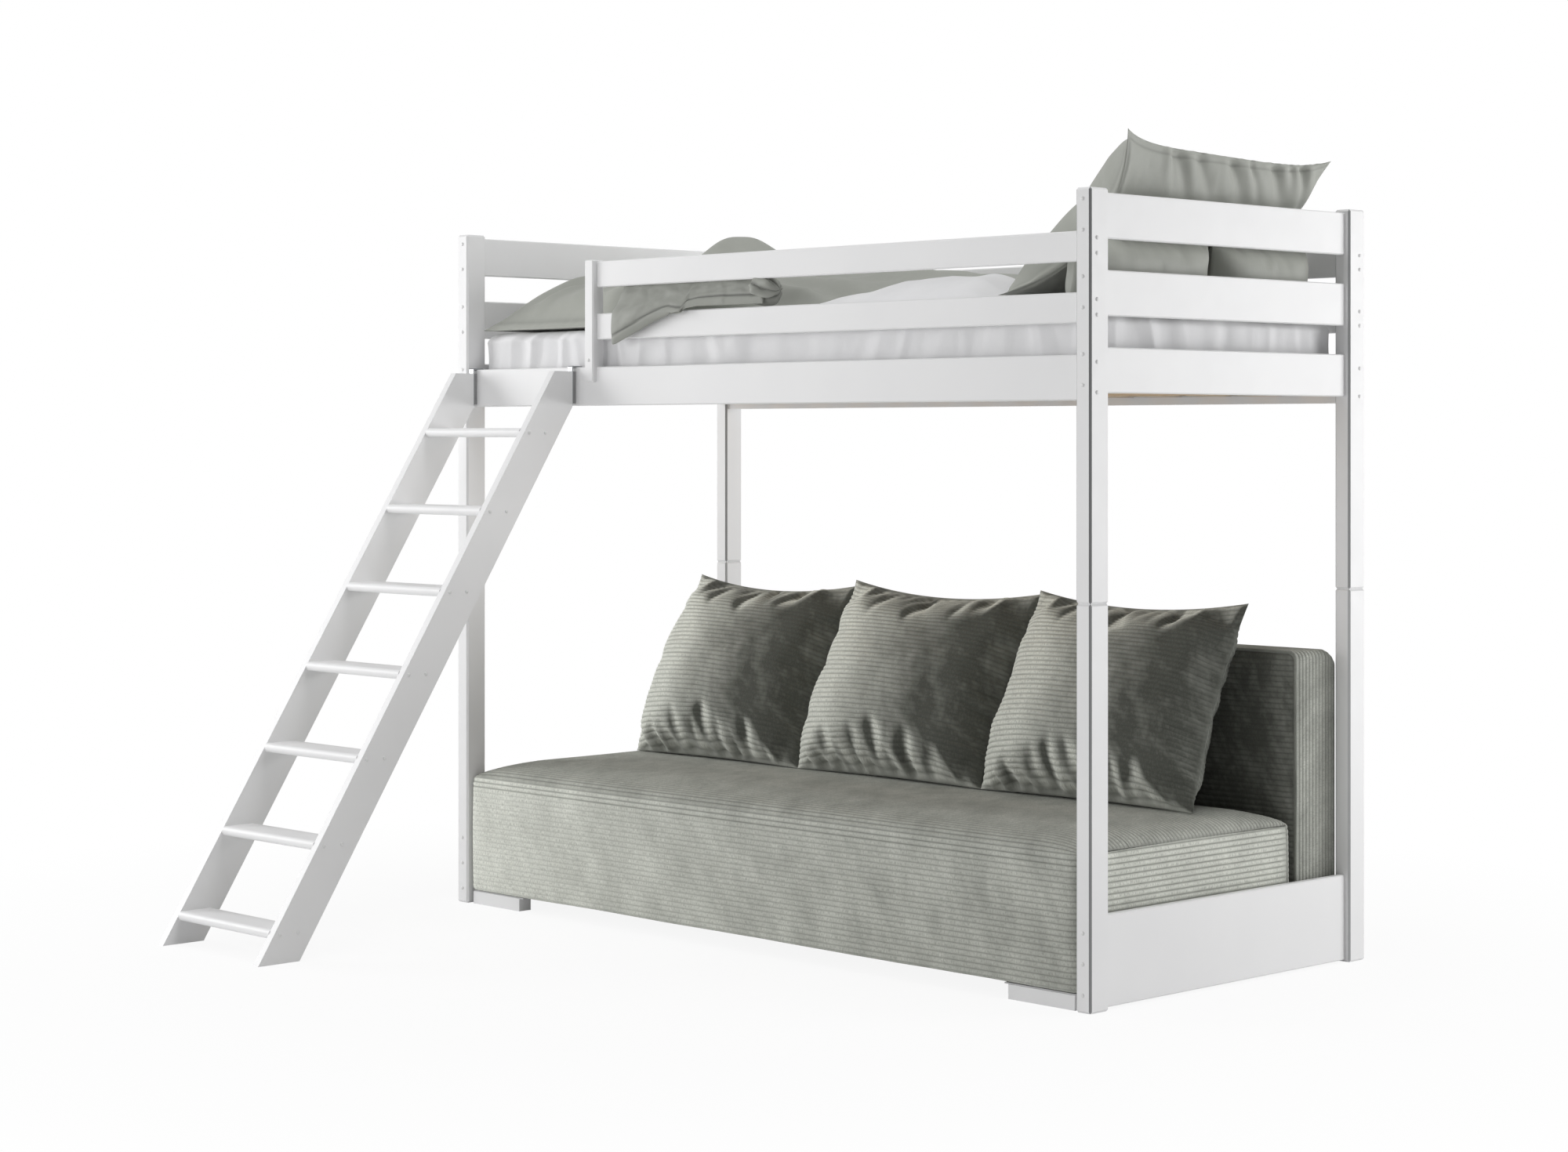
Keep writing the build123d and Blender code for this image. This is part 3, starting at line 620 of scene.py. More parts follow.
backrest = {
    "endRound": 0.018, "backRound": 0.046, "endBack": 0.012, "frontRound": 0.008,
    "weltInset": 0.002, "weltRadius": 0.003,
    # painted light and shade on the backrest: the front panel near its darkest, the border and the back lighter
    "napBorder": 0.46, "napFront": 0.05, "napBack": 0.55,
}


def borderOutline(low, high, inset, radius, drop=None):  # up the left end, over the top, down the right end, in XZ
    x0, x1, z1 = low[0] + inset, high[0] - inset, high[2] - (inset if drop is None else drop)
    radius = max(0.004, radius)
    path = [(x0, z) for z in np.linspace(low[2], z1 - radius, 27)]
    turn = np.linspace(0, math.pi / 2, 10)[1:]
    path += [(x0 + radius - radius * math.cos(t), z1 - radius + radius * math.sin(t)) for t in turn]
    path += [(x, z1) for x in np.linspace(x0 + radius, x1 - radius, 60)[1:]]
    path += [(x1 - radius + radius * math.sin(t), z1 - radius + radius * math.cos(t)) for t in turn]
    path += [(x1, z) for z in np.linspace(z1 - radius, low[2], 27)[1:]]
    return np.array(path)


def makeBackrest():
    low, high = (np.array(v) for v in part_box("sofa_backrest"))
    front, back = low[1], high[1]
    end, big = backrest["endRound"], backrest["backRound"]
    across = [(front + 0.004, 0.0035), (front + 0.007, 0.001), (front + 0.013, 0.0)]
    across += [(y, 0.0) for y in np.linspace(front + 0.02, back - big, 6)]
    across += [(back - big + big * math.sin(t), big - big * math.cos(t)) for t in np.linspace(0, math.pi / 2, 9)[1:]]
    line, stations = evenSteps(np.array(across), sofa["step"])
    normals = sideways(line)
    rib = ribHeight(stations)
    rows = []
    for (y, inset), normal, wave in zip(line, normals, rib):
        depth = sofa["ribDepth"] * 1.5 * (1 - wave)
        past = max(0.0, (y - back + backrest["endBack"]) / backrest["endBack"])
        side = inset if y < back - big else backrest["endBack"] * (1 - math.sqrt(max(0.0, 1 - past ** 2)))
        sunk = depth * abs(normal[1])
        path = borderOutline(low, high, side + sunk, end - inset * 0.1, inset + sunk)
        rows.append(np.column_stack([path[:, 0], np.full(len(path), y - depth * abs(normal[0])), path[:, 1]]))
    for which, inward in ((0, 1), (-1, -1)):  # a lip turned in behind each panel
        lip = rows[which].copy()
        middle = (low[0] + high[0]) / 2
        lip[:, 0] += np.clip((middle - lip[:, 0]) * 9, -0.004, 0.004)
        lip[:, 2] = np.minimum(lip[:, 2], rows[which][:, 2].max() - 0.004)
        lip[:, 1] += inward * 0.010
        rows.insert(0 if which == 0 else len(rows), lip)
    rib, stations = np.r_[rib[0], rib, rib[-1]], np.r_[stations[0], stations, stations[-1]]
    grid = np.array(rows)
    points = [grid.reshape(-1, 3)]
    ribs = [np.repeat(rib, grid.shape[1])]
    lengths = np.r_[0, np.cumsum(np.linalg.norm(np.diff(grid[0], axis=0), axis=1))]
    alongs, acrosses = [np.tile(lengths, grid.shape[0])], [np.repeat(stations, grid.shape[1])]
    naps = [np.full(grid.shape[0] * grid.shape[1], backrest["napBorder"])]
    rowCount, wide = grid.shape[:2]
    faces = gridFaces(rowCount, wide)
    offset = rowCount * wide
    faces += [tuple(range(wide)), tuple(range(offset - wide, offset))]
    starts = [k * wide for k in range(rowCount)]
    faces.append(tuple(starts) + tuple(k + wide - 1 for k in reversed(starts)))
    for row, out in ((grid[1], -1), (grid[-2], 1)):
        x0, x1, z0, z1 = row[:, 0].min(), row[:, 0].max(), low[2], row[:, 2].max()
        radius = end * 0.95
        zs = np.r_[np.arange(z0, z1, sofa["step"]), z1]
        us = np.r_[0, 0.002, 0.006, 0.014, np.linspace(0.03, 0.97, 44), 0.986, 0.994, 0.998, 1]
        panel, shades = [], []
        for z in zs:
            drop = max(0.0, z - (z1 - radius))
            cut = radius - math.sqrt(max(0.0, radius ** 2 - drop ** 2))
            wave = float(ribHeight(z - z0))
            for u in us:
                x = x0 + cut + (x1 - x0 - 2 * cut) * u
                edge = min(min(u, 1 - u) * (x1 - x0), z1 - z)
                puff = backrest["frontRound"] * 0.55 * (1 - (1 - min(1, edge / 0.03)) ** 2)
                fade = min(1, edge / 0.006)
                uneven = 0.0014 * wobble(x * 4, z * 4, out, 3)
                panel.append((x, row[0, 1] + out * (puff + sofa["ribDepth"] * (wave - 1) * fade + uneven), z))
                shades.append(wave * (0.3 + 0.7 * fade))
        panel = np.array(panel)
        panel = np.vstack([panel, panel - (0, out * 0.006, 0)])
        points.append(panel)
        ribs.append(np.array(shades * 2))
        alongs.append(panel[:, 0])
        acrosses.append(panel[:, 2])
        # painted shade: the front panel darker than the back panel
        naps.append(np.full(len(panel), backrest["napBack"] if out > 0 else backrest["napFront"]))
        inner = offset + len(shades)
        faces += slabFaces(len(zs), len(us), offset, inner)
        offset += len(panel)
    piece = addPiece("backrestCorduroy", np.vstack(points), faces, corduroyRibs, "frame",
                     joined(rib=ribs, along=alongs, across=acrosses, nap=naps))
    finishSoft(piece, "sofa_backrest")
    welt = borderOutline(low, high, backrest["weltInset"], end)
    ring = [(x, front + 0.004, z) for x, z in welt]
    makeWelt("backrestWelt", ring, backrest["weltRadius"])


def makeWelt(name, path, radius, sides=8):
    path = np.asarray(path, float)
    way = np.gradient(path, axis=0)
    way /= np.linalg.norm(way, axis=1)[:, None] + 1e-9
    points = []
    for centre, ahead in zip(path, way):
        side = np.cross(ahead, (0.0, 0.0, 1.0) if abs(ahead[2]) < 0.9 else (0.0, 1.0, 0.0))
        side /= np.linalg.norm(side)
        up = np.cross(side, ahead)
        for k in range(sides):
            turn = 2 * math.pi * k / sides
            points.append(centre + radius * (side * math.cos(turn) + up * math.sin(turn)))
    faces = gridFaces(len(path), sides, closed=True)
    faces += [tuple(range(sides))[::-1], tuple(range(len(points) - sides, len(points)))]
    # painted shade: the welt at a fixed, darker level
    piece = addPiece(name, points, faces, corduroyRibs, "frame", {
        "rib": np.full(len(points), 0.75), "nap": np.full(len(points), 0.3),
        "along": np.repeat(np.arange(len(path)) * 0.01, sides),
        "across": np.tile(np.arange(sides) * 0.002, len(path))})
    weld(piece)


# Pillows and cushions: two cloths sewn round their edge and blown up, then drawn finer and creased

def sewnSheets(shape):  # the two cloths as grids of points, front first
    corners = [np.array(place(*c)) for c in shape["corners"]]  # low left, low right, high right, high left
    width = np.linalg.norm(corners[1] - corners[0])
    height = np.linalg.norm(corners[3] - corners[0])
    columns, rows = int(width / shape["grid"]) + 1, int(height / shape["grid"]) + 1
    u, v = np.meshgrid(np.linspace(-1, 1, columns), np.linspace(-1, 1, rows))
    left, right, low, high = shape["pulls"]
    across = u * (1 - np.where(u < 0, left, right) * (1 - v ** 2) * np.abs(u))
    up = v * (1 - np.where(v < 0, low, high) * (1 - np.abs(u) ** shape["straight"]) * np.abs(v))
    a, b = ((across + 1) / 2)[..., None], ((up + 1) / 2)[..., None]
    base = (corners[0] * (1 - a) + corners[1] * a) * (1 - b) + (corners[3] * (1 - a) + corners[2] * a) * b
    normal = np.cross(corners[1] - corners[0], corners[3] - corners[0])
    normal /= np.linalg.norm(normal)
    crown = ((1 - np.abs(u) ** shape["square"]) * (1 - np.abs(v) ** shape["square"])) ** 0.5
    crown = crown * (1 - shape["sag"] * v) * (1 - shape["slump"] * u)
    if "seamBack" in shape:  # the seam hangs nearer the back between its corners
        base = base - normal * (np.where(u < 0, *shape["seamBack"]) * (1 - v ** 2) * np.abs(u) ** 8)[..., None]
    sheets = [base + normal * (deep * crown)[..., None] for deep in (shape["front"], -shape["back"])]
    sheets = inflated(sheets, shape)
    return sheets


filling = {
    "frames": 20, "roundings": 3,
    "cloth": {
        "vertex_group_mass": "seam", "quality": 6, "mass": 0.3, "tension_stiffness": 14, "compression_stiffness": 14,
        "shear_stiffness": 6, "bending_stiffness": 0.25, "use_pressure": True, "uniform_pressure_force": 4.0,
    },
}


def inflated(sheets, shape):  # cloth held at its seam, cut a little fuller than the seam, under pressure
    rows, columns = sheets[0].shape[:2]
    border = np.zeros((rows, columns), bool)
    border[[0, -1], :] = border[:, [0, -1]] = True
    first = np.arange(rows * columns).reshape(rows, columns)
    second = first.copy()
    second[~border] = rows * columns + np.arange((~border).sum())
    points = np.concatenate([sheets[0].reshape(-1, 3), sheets[1][~border]])
    faces = []
    for layer, grid in enumerate((first, second)):
        quads = np.stack([grid[:-1, :-1], grid[:-1, 1:], grid[1:, 1:], grid[1:, :-1]], -1).reshape(-1, 4)
        faces += [tuple(int(k) for k in (q if layer == 0 else q[::-1])) for q in quads]
    mesh = bpy.data.meshes.new("sewn")
    mesh.from_pydata([tuple(p) for p in points.tolist()], [], faces)
    sewn = bpy.data.objects.new("sewn", mesh)
    bpy.context.scene.collection.objects.link(sewn)
    held = sewn.vertex_groups.new(name="seam")
    held.add([int(k) for k in first[border]], 1.0, "REPLACE")
    cloth = sewn.modifiers.new("Cloth", "CLOTH")
    for key, value in filling["cloth"].items():
        setattr(cloth.settings, key, value)
    cloth.settings.shrink_min = cloth.settings.shrink_max = -shape["fuller"]
    cloth.settings.effector_weights.gravity = 0.0
    cloth.collision_settings.use_collision = False
    cloth.point_cache.frame_start, cloth.point_cache.frame_end = 1, filling["frames"]
    for number in range(1, filling["frames"] + 1):
        bpy.context.scene.frame_set(number)
    graph = bpy.context.evaluated_depsgraph_get()
    blown = np.array([v.co[:] for v in sewn.evaluated_get(graph).data.vertices])
    bpy.data.objects.remove(sewn)
    bpy.context.scene.frame_set(1)
    move = blown - points
    far = np.linalg.norm(move, axis=1)
    print("  cloth moved", round(float(far.max()), 4), "mean", round(float(far.mean()), 4))
    points = points + move * np.minimum(1, shape["cap"] / np.maximum(far, 1e-9))[:, None]
    sheets = [points[first], points[second]]
    for sheet in sheets:  # the fill rounds off the sharpest buckles
        for turn in range(filling["roundings"]):
            beside = sheet[2:, 1:-1] + sheet[:-2, 1:-1] + sheet[1:-1, 2:] + sheet[1:-1, :-2]
            sheet[1:-1, 1:-1] = sheet[1:-1, 1:-1] * 0.5 + beside * 0.125
    return sheets


def finer(sheet, rows, columns):  # cubic interpolation of a grid of points
    def along(data, count):
        n = data.shape[0]
        padded = np.concatenate([2 * data[:1] - data[1:2], data, 2 * data[-1:] - data[-2:-1]])
        s = np.linspace(0, n - 1, count)
        i = np.minimum(s.astype(int), n - 2)
        t = (s - i).reshape(-1, *([1] * (data.ndim - 1)))
        a, b, c, d = (padded[i + k] for k in range(4))
        return cubic(a, b, c, d, t)
    fine = along(sheet, rows)
    return np.swapaxes(along(np.swapaxes(fine, 0, 1), columns), 0, 1)


def gridNormals(grid):
    du = np.gradient(grid, axis=1)
    dv = np.gradient(grid, axis=0)
    normal = np.cross(du, dv)
    return normal / (np.linalg.norm(normal, axis=2)[..., None] + 1e-12)


# folds that start in the seams, set as side, from, to, spacing, length, depth, wide and slant
def creaseDepth(u, v, width, height, creases, seed):
    random = np.random.default_rng(seed)
    x, y = u * width / 2, v * height / 2
    total = np.zeros_like(u)
    for side, start, end, spacing, length, depth, wide, slant in creases:
        vertical = side in ("left", "right")
        span = (height if vertical else width) / 2
        spot = start * span
        while spot < end * span:
            at = spot + random.uniform(-0.25, 0.25) * spacing
            long, deep = length * random.uniform(0.6, 1.25), depth * random.uniform(0.55, 1.2)
            broad, lean = wide * random.uniform(0.8, 1.3), slant + random.uniform(-0.16, 0.16)
            bend = random.uniform(-0.8, 0.8) / max(long, 0.01)
            inward = {"left": x + width / 2, "right": width / 2 - x,
                      "low": y + height / 2, "high": height / 2 - y}[side]
            beside = (y if vertical else x) - at - lean * inward - bend * 0.3 * inward ** 2
            reach = np.clip(1 - inward / (long * 1.25), 0, 1) ** 1.6 * np.clip(inward / 0.006, 0, 1) * 1.15
            spread = broad * (0.7 + 0.9 * inward / long)
            past = (np.abs(beside) - 2.0 * spread) / (1.2 * spread)
            total += deep * reach * (np.exp(-(beside / spread) ** 2) - 0.35 * np.exp(-past ** 2))
            spot += spacing
    return total


def makeStuffed(name, shape, material, body, replaced, ribbed):
    sheets = sewnSheets(shape)
    corners = [np.array(place(*c)) for c in shape["corners"]]
    width, height = np.linalg.norm(corners[1] - corners[0]), np.linalg.norm(corners[3] - corners[0])
    rows, columns = int(height * 1.1 / (sofa["step"] if ribbed else 0.0042)) + 1, int(width / 0.0042) + 1
    v = np.linspace(-1, 1, rows)[:, None] * np.ones((1, columns))
    u = np.linspace(-1, 1, columns)[None, :] * np.ones((rows, 1))
    edge = np.minimum((1 - np.abs(u)) * width / 2, (1 - np.abs(v)) * height / 2)
    made, ribs, paintedShade, naps = [], [], [], []
    for sign, sheet in zip((1, -1), sheets):
        grid = finer(sheet, rows, columns)
        normal = gridNormals(grid) * sign
        # painted light and shade: the cloth lighter where it turns to the left, darker where it turns to the right
        naps.append(np.clip(0.60 - 2.9 * normal[..., 0], 0.0, 1.2).ravel())
        creases = shape["creases"] if sign > 0 else shape.get("backCreases", shape["creases"][:2])
        fold = creaseDepth(u, v, width, height, creases, shape["seed"])
        small = wobbleGrid(u[::12, ::8] * 3.1, v[::12, ::8] * 3.1, sign * 2.0, shape["seed"])
        small = finer(small[..., None], rows, columns)[..., 0]
        offset = -fold + small * shape["uneven"] * np.clip(edge / 0.05, 0, 1)
        wave = np.ones_like(u)
        if ribbed:
            fade = np.clip(edge / 0.008, 0, 1)
            wave = ribHeight(v * height * 1.015 / 2 + small * 0.005 + 0.3)
            offset = offset + sofa["ribDepth"] * 1.45 * (wave - 1) * fade
            wave = wave * (0.35 + 0.65 * fade)
        else:
            seam = np.exp(-((edge - shape["piping"]) / 0.0032) ** 2)
            offset = offset - 0.0022 * seam
            # painted shade along the sunken piping seam
            paintedShade.append((0.9 * np.exp(-((edge - shape["piping"]) / 0.0013) ** 2)).ravel())
        offset = offset * np.clip(edge / 0.004, 0, 1)
        grid = grid + normal * offset[..., None]
        made.append(grid)
        ribs.append(wave.ravel())
    points = np.concatenate([m.reshape(-1, 3) for m in made])
    for axis, level, keep in shape["rests"]:  # flat where it rests on something
        beyond = (points[:, axis] - level) * keep < 0
        points[beyond, axis] = level + (points[beyond, axis] - level) * 0.04
    faces = gridFaces(rows, columns) + gridFaces(rows, columns, rows * columns, flip=True)
    values = joined(rib=ribs, along=[(u * width / 2).ravel()] * 2, across=[(v * height / 2).ravel()] * 2, nap=naps)
    if not ribbed:
        values["seam"] = np.concatenate(paintedShade)
    piece = addPiece(name, points, faces, material, body, values)
    finishSoft(piece, replaced)


cushions = {
    "places": {  # low left, low right, high left, high right, and the heights of the last two
        "left": (145, 752, 154, 738, 818, 808), "middle": (746, 1362, 733, 1362, 823, 811),
        "right": (1358, 1984, 1350, 1966, 819, 812),
    },
    "seeds": {"left": 3, "middle": 8, "right": 13},
    "lowDepth": 482, "highDepth": 706,
    "creases": (
        ("low", -0.80, 0.42, 0.058, 0.100, 0.0072, 0.0150, -0.22),
        ("high", -0.9, 0.95, 0.042, 0.060, 0.0022, 0.0090, -0.40),
        ("right", -0.85, 0.9, 0.060, 0.110, 0.0032, 0.0110, 0.25),
        ("left", -0.8, 0.8, 0.090, 0.060, 0.0024, 0.0100, 0.10),
        ("high", 0.0, 0.6, 0.170, 0.150, 0.0070, 0.0160, 0.50),
        ("low", 0.35, 0.95, 0.140, 0.120, 0.0036, 0.0170, 0.30),
    ),
}


def makeCushion(side):
    lowLeft, lowRight, highLeft, highRight, topLeft, topRight = cushions["places"][side]
    near, far = cushions["lowDepth"], cushions["highDepth"]
    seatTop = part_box("sofa_seat")[1][2] - 0.002
    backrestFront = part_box("sofa_backrest")[0][1] - 0.002
    shape = {
        "corners": ((lowLeft, near, 362), (lowRight, near, 362), (highRight, far, topRight), (highLeft, far, topLeft)),
        "grid": 0.0115, "pulls": (0.045, 0.06, 0.02, 0.12), "straight": 2.0, "square": 2.2, "sag": 0.20, "slump": 0.16,
        "front": 0.112, "back": 0.120, "fuller": 0.05, "cap": 0.018, "uneven": 0.007, "seed": cushions["seeds"][side],
        "creases": cushions["creases"], "rests": ((2, seatTop, 1), (1, backrestFront, -1)),
    }
    makeStuffed("cushionCorduroy" + side.capitalize(), shape, corduroyRibs, "sofa_seat",
                "sofa_cushion_" + side, True)


makeSeat()
makeBackrest()
for side in ("left", "middle", "right"):
    makeCushion(side)
print("sofa done")

# Pillows on the bed

standing = {  # what the two upright pillows share
    "grid": 0.0105, "pulls": (0.05, 0.03, 0.0, 0.01), "straight": 3.0, "square": 3.6, "sag": 0.04, "slump": 0.0,
    "front": 0.060, "back": 0.047, "fuller": 0.03, "cap": 0.010, "uneven": 0.003, "piping": 0.006, "rests": (),
}
topCrease = ("high", -0.9, 0.9, 0.150, 0.030, 0.0020, 0.0080, 0.1)
pillows = {
    "leaning": {
        "corners": ((1792, 898, 1492), (1790, 62, 1489), (2050, 181, 1836), (2050, 900, 1811)),
        "grid": 0.0115, "pulls": (0.03, 0.09, 0.01, 0.14), "straight": 5.0, "square": 2.6, "sag": 0.10, "slump": -0.06,
        "seamBack": (0.0, 0.075), "front": 0.092, "back": 0.050, "fuller": 0.015, "cap": 0.014, "uneven": 0.007,
        "seed": 21, "piping": 0.010,
        "creases": (
            ("high", -0.9, 0.9, 0.120, 0.120, 0.0050, 0.0130, 0.20),
            ("low", -0.8, 0.95, 0.090, 0.090, 0.0050, 0.0120, -0.20),
            ("right", -0.8, 0.9, 0.110, 0.120, 0.0050, 0.0140, 0.30),
        ),
        "backCreases": (
            ("high", -0.80, 0.60, 0.135, 0.240, 0.0085, 0.0240, -0.42),
            ("high", -0.72, 0.55, 0.230, 0.150, 0.0045, 0.0150, -0.25),
        ),
        "rests": (),
    },
    "front": {
        **standing, "corners": ((1985, 514, 1457), (1985, 62, 1457), (2006, 66, 1616), (2006, 512, 1616)),
        "seed": 5, "creases": (topCrease, ("low", -0.7, 0.9, 0.150, 0.080, 0.0045, 0.0070, 0.1)),
    },
    "back": {
        **standing, "corners": ((1985, 874, 1457), (1985, 520, 1457), (2006, 524, 1612), (2006, 868, 1612)),
        "seed": 9, "creases": (topCrease, ("low", -0.5, 0.9, 0.200, 0.070, 0.0035, 0.0070, 0.1)),
    },
}

for which, shape in pillows.items():
    makeStuffed("pillow" + which.capitalize(), shape, beddingSatin, "frame",
                "bed_pillow_" + which, False)
print("pillows done")

# Mattress in its fitted sheet

mattress = {
    "corner": 0.034, "step": 0.005, "foldDepth": 0.0115, "edge": 0.030, "crown": 0.006,
    "rings": (0.045, 0.07, 0.11, 0.16, 0.22, 0.30, 0.36, 0.41),
}


def makeMattress():
    low, high = (np.array(v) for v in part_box("mattress"))
    bottom, top = low[2], high[2] - mattress["crown"]
    radius, edge = mattress["corner"], mattress["edge"]
    x0, x1, y0, y1 = low[0], high[0], low[1], high[1]
    ring = [(x, y0) for x in np.linspace(x0 + radius, x1 - radius, 60)[:-1]]

    def bend(cx, cy, start):
        turns = np.linspace(start, start + math.pi / 2, 12)[:-1]
        return [(cx + radius * math.cos(t), cy + radius * math.sin(t)) for t in turns]

    ring += bend(x1 - radius, y0 + radius, -math.pi / 2)
    ring += [(x1, y) for y in np.linspace(y0 + radius, y1 - radius, 40)[:-1]]
    ring += bend(x1 - radius, y1 - radius, 0)
    ring += [(x, y1) for x in np.linspace(x1 - radius, x0 + radius, 60)[:-1]]
    ring += bend(x0 + radius, y1 - radius, math.pi / 2)
    ring += [(x0, y) for y in np.linspace(y1 - radius, y0 + radius, 40)[:-1]]
    ring += bend(x0 + radius, y0 + radius, math.pi)
    ring.append(ring[0])
    line, stations = evenSteps(np.array(ring), mattress["step"])
    line, stations = line[:-1], stations[:-1]
    way = np.roll(line, -1, 0) - np.roll(line, 1, 0)
    way /= np.linalg.norm(way, axis=1)[:, None]
    outward = np.column_stack([way[:, 1], -way[:, 0]])
    centre, half = ((x0 + x1) / 2, (y0 + y1) / 2), ((x1 - x0) / 2, (y1 - y0) / 2)
    levels = [(0.0, bottom), (0.0, bottom + 0.006), (0, bottom + 0.02)]
    levels += [(0, z) for z in np.linspace(bottom + 0.03, top - edge, 11)]
    levels += [(edge * (1 - math.cos(t)), top - edge + edge * math.sin(t)) for t in np.linspace(0, math.pi / 2, 8)[1:]]
    levels += [(inset, top + mattress["crown"] * float(ease(inset / 0.2))) for inset in mattress["rings"]]
    points = []
    for inset, z in levels:
        share = (z - bottom) / (top - bottom)
        sideFade = float(ease(share * 1.6)) * float(ease((0.10 - inset) / 0.10))
        fade = sideFade if z < top else float(ease((0.12 - inset) / 0.12))
        drawIn = 0.004 * math.sin(math.pi * min(1, max(0, share))) if inset == 0 else 0.0
        for (x, y), (ox, oy), s in zip(line, outward, stations):
            bunch = 0.35 + 0.65 * abs(wobble(s * 1.7, 0, 0, 4))
            slant = (z - bottom) * 0.5 * wobble(s * 2.0, 3.0, 0, 6)
            fold = 1 - abs(wobble((s + slant) * 9, z * 2.2, 0, 1)) * 3.2
            fold = max(-0.25, fold) * bunch + 0.4 * wobble((s + slant) * 26, z * 5, 0, 2)
            push = mattress["foldDepth"] * (fold - 0.55) * fade - drawIn
            px = centre[0] + (x - centre[0]) * (1 - inset / half[0]) + ox * push
            py = centre[1] + (y - centre[1]) * (1 - inset / half[1]) + oy * push
            lift = 0.0016 * wobble(px * 7, py * 7, 0, 9) * float(ease(inset / 0.05))
            points.append((px, py, z + lift))
    count = len(line)
    verts = np.array(points)
    faces = gridFaces(len(levels), count, closed=True)
    faces += [tuple(range(count))[::-1], tuple(range(len(verts) - count, len(verts)))]
    piece = addPiece("fittedSheet", verts, faces, sheetCotton, "frame", {"seam": np.zeros(len(verts))})
    finishSoft(piece, "mattress")


makeMattress()

# Duvet thrown in folds, with its hem, piping and the corner over the guard rail

duvet = {
    "places": (0, 0.06, 0.13, 0.21, 0.29, 0.40, 0.455, 0.505, 0.56, 0.66, 0.76, 0.87, 1),
    "fronts": (0, 0, 0, 0, 0, 0, 0.005, 0.005, 0.01, 0.03, 0.06, 0.18, 0.30),
    "folds": (0, 0.10, 0.34, 0.66, 0.94, 1),
    "heights": (
        (0.10, 0.12, 0.12, 0.12, 0.12, 0.12, 0.12, 0.12, 0.12, 0.12, 0.12, 0.12, 0.10),
        (0.24, 0.34, 0.40, 0.43, 0.44, 0.46, 0.46, 0.44, 0.40, 0.36, 0.32, 0.28, 0.22),
        (0.56, 0.62, 0.66, 0.64, 0.62, 0.68, 1.00, 0.84, 0.56, 0.52, 0.50, 0.48, 0.36),
        (0.46, 0.50, 0.52, 0.52, 0.50, 0.54, 0.70, 0.60, 0.52, 0.50, 0.48, 0.46, 0.34),
        (0.48, 0.50, 0.52, 0.52, 0.52, 0.54, 0.58, 0.54, 0.52, 0.50, 0.46, 0.42, 0.30),
        (0.20, 0.22, 0.24, 0.26, 0.28, 0.30, 0.30, 0.28, 0.26, 0.24, 0.20, 0.16, 0.08),
    ),
    "start": 52, "length": 1370, "front": 42, "width": 845, "height": 225, "base": 1454.5, "step": 10, "flange": 24,
    "ridges": (  # long soft folds: from, to, height, breadth
        ((330, 120), (560, 420), 16, 34), ((420, 60), (700, 300), 13, 26), ((120, 200), (330, 330), 12, 40),
        ((560, 330), (680, 620), 18, 40), ((820, 120), (1080, 90), 17, 26), ((860, 190), (1190, 150), 16, 30),
        ((780, 260), (1240, 260), 16, 38), ((1100, 60), (1330, 240), 12, 28), ((900, 400), (1350, 480), 14, 45),
        ((200, 60), (250, 190), 9, 22), ((90, 90), (170, 260), 9, 26), ((640, 90), (760, 200), 12, 26),
    ),
}


def ridgeHeight(x, y, ridges):
    total = 0.0
    for (x0, y0), (x1, y1), height, broad in ridges:
        dx, dy = x1 - x0, y1 - y0
        t = ((x - x0) * dx + (y - y0) * dy) / (dx * dx + dy * dy)
        across = ((x - x0) * dy - (y - y0) * dx) / math.hypot(dx, dy) + 14 * math.sin(3.0 * t + x0)
        inside = ease(min(1.0, max(0.0, (t + 0.25) / 0.4))) * ease(min(1.0, max(0.0, (1.25 - t) / 0.4)))
        valley = math.exp(-((across - 1.5 * broad) / broad) ** 2)
        total += height * inside * (math.exp(-(across / broad) ** 2) - 0.55 * valley)
    return total


def softTable(x, knots, values):  # smooth through a table, by a cubic on each stretch
    knots, values = np.asarray(knots, float), np.asarray(values, float)
    slopes = np.gradient(values, knots)
    i = np.clip(np.searchsorted(knots, x) - 1, 0, len(knots) - 2)
    h = knots[i + 1] - knots[i]
    t = (x - knots[i]) / h
    return ((2 * t ** 3 - 3 * t ** 2 + 1) * values[i] + (t ** 3 - 2 * t ** 2 + t) * h * slopes[i]
            + (-2 * t ** 3 + 3 * t ** 2) * values[i + 1] + (t ** 3 - t ** 2) * h * slopes[i + 1])


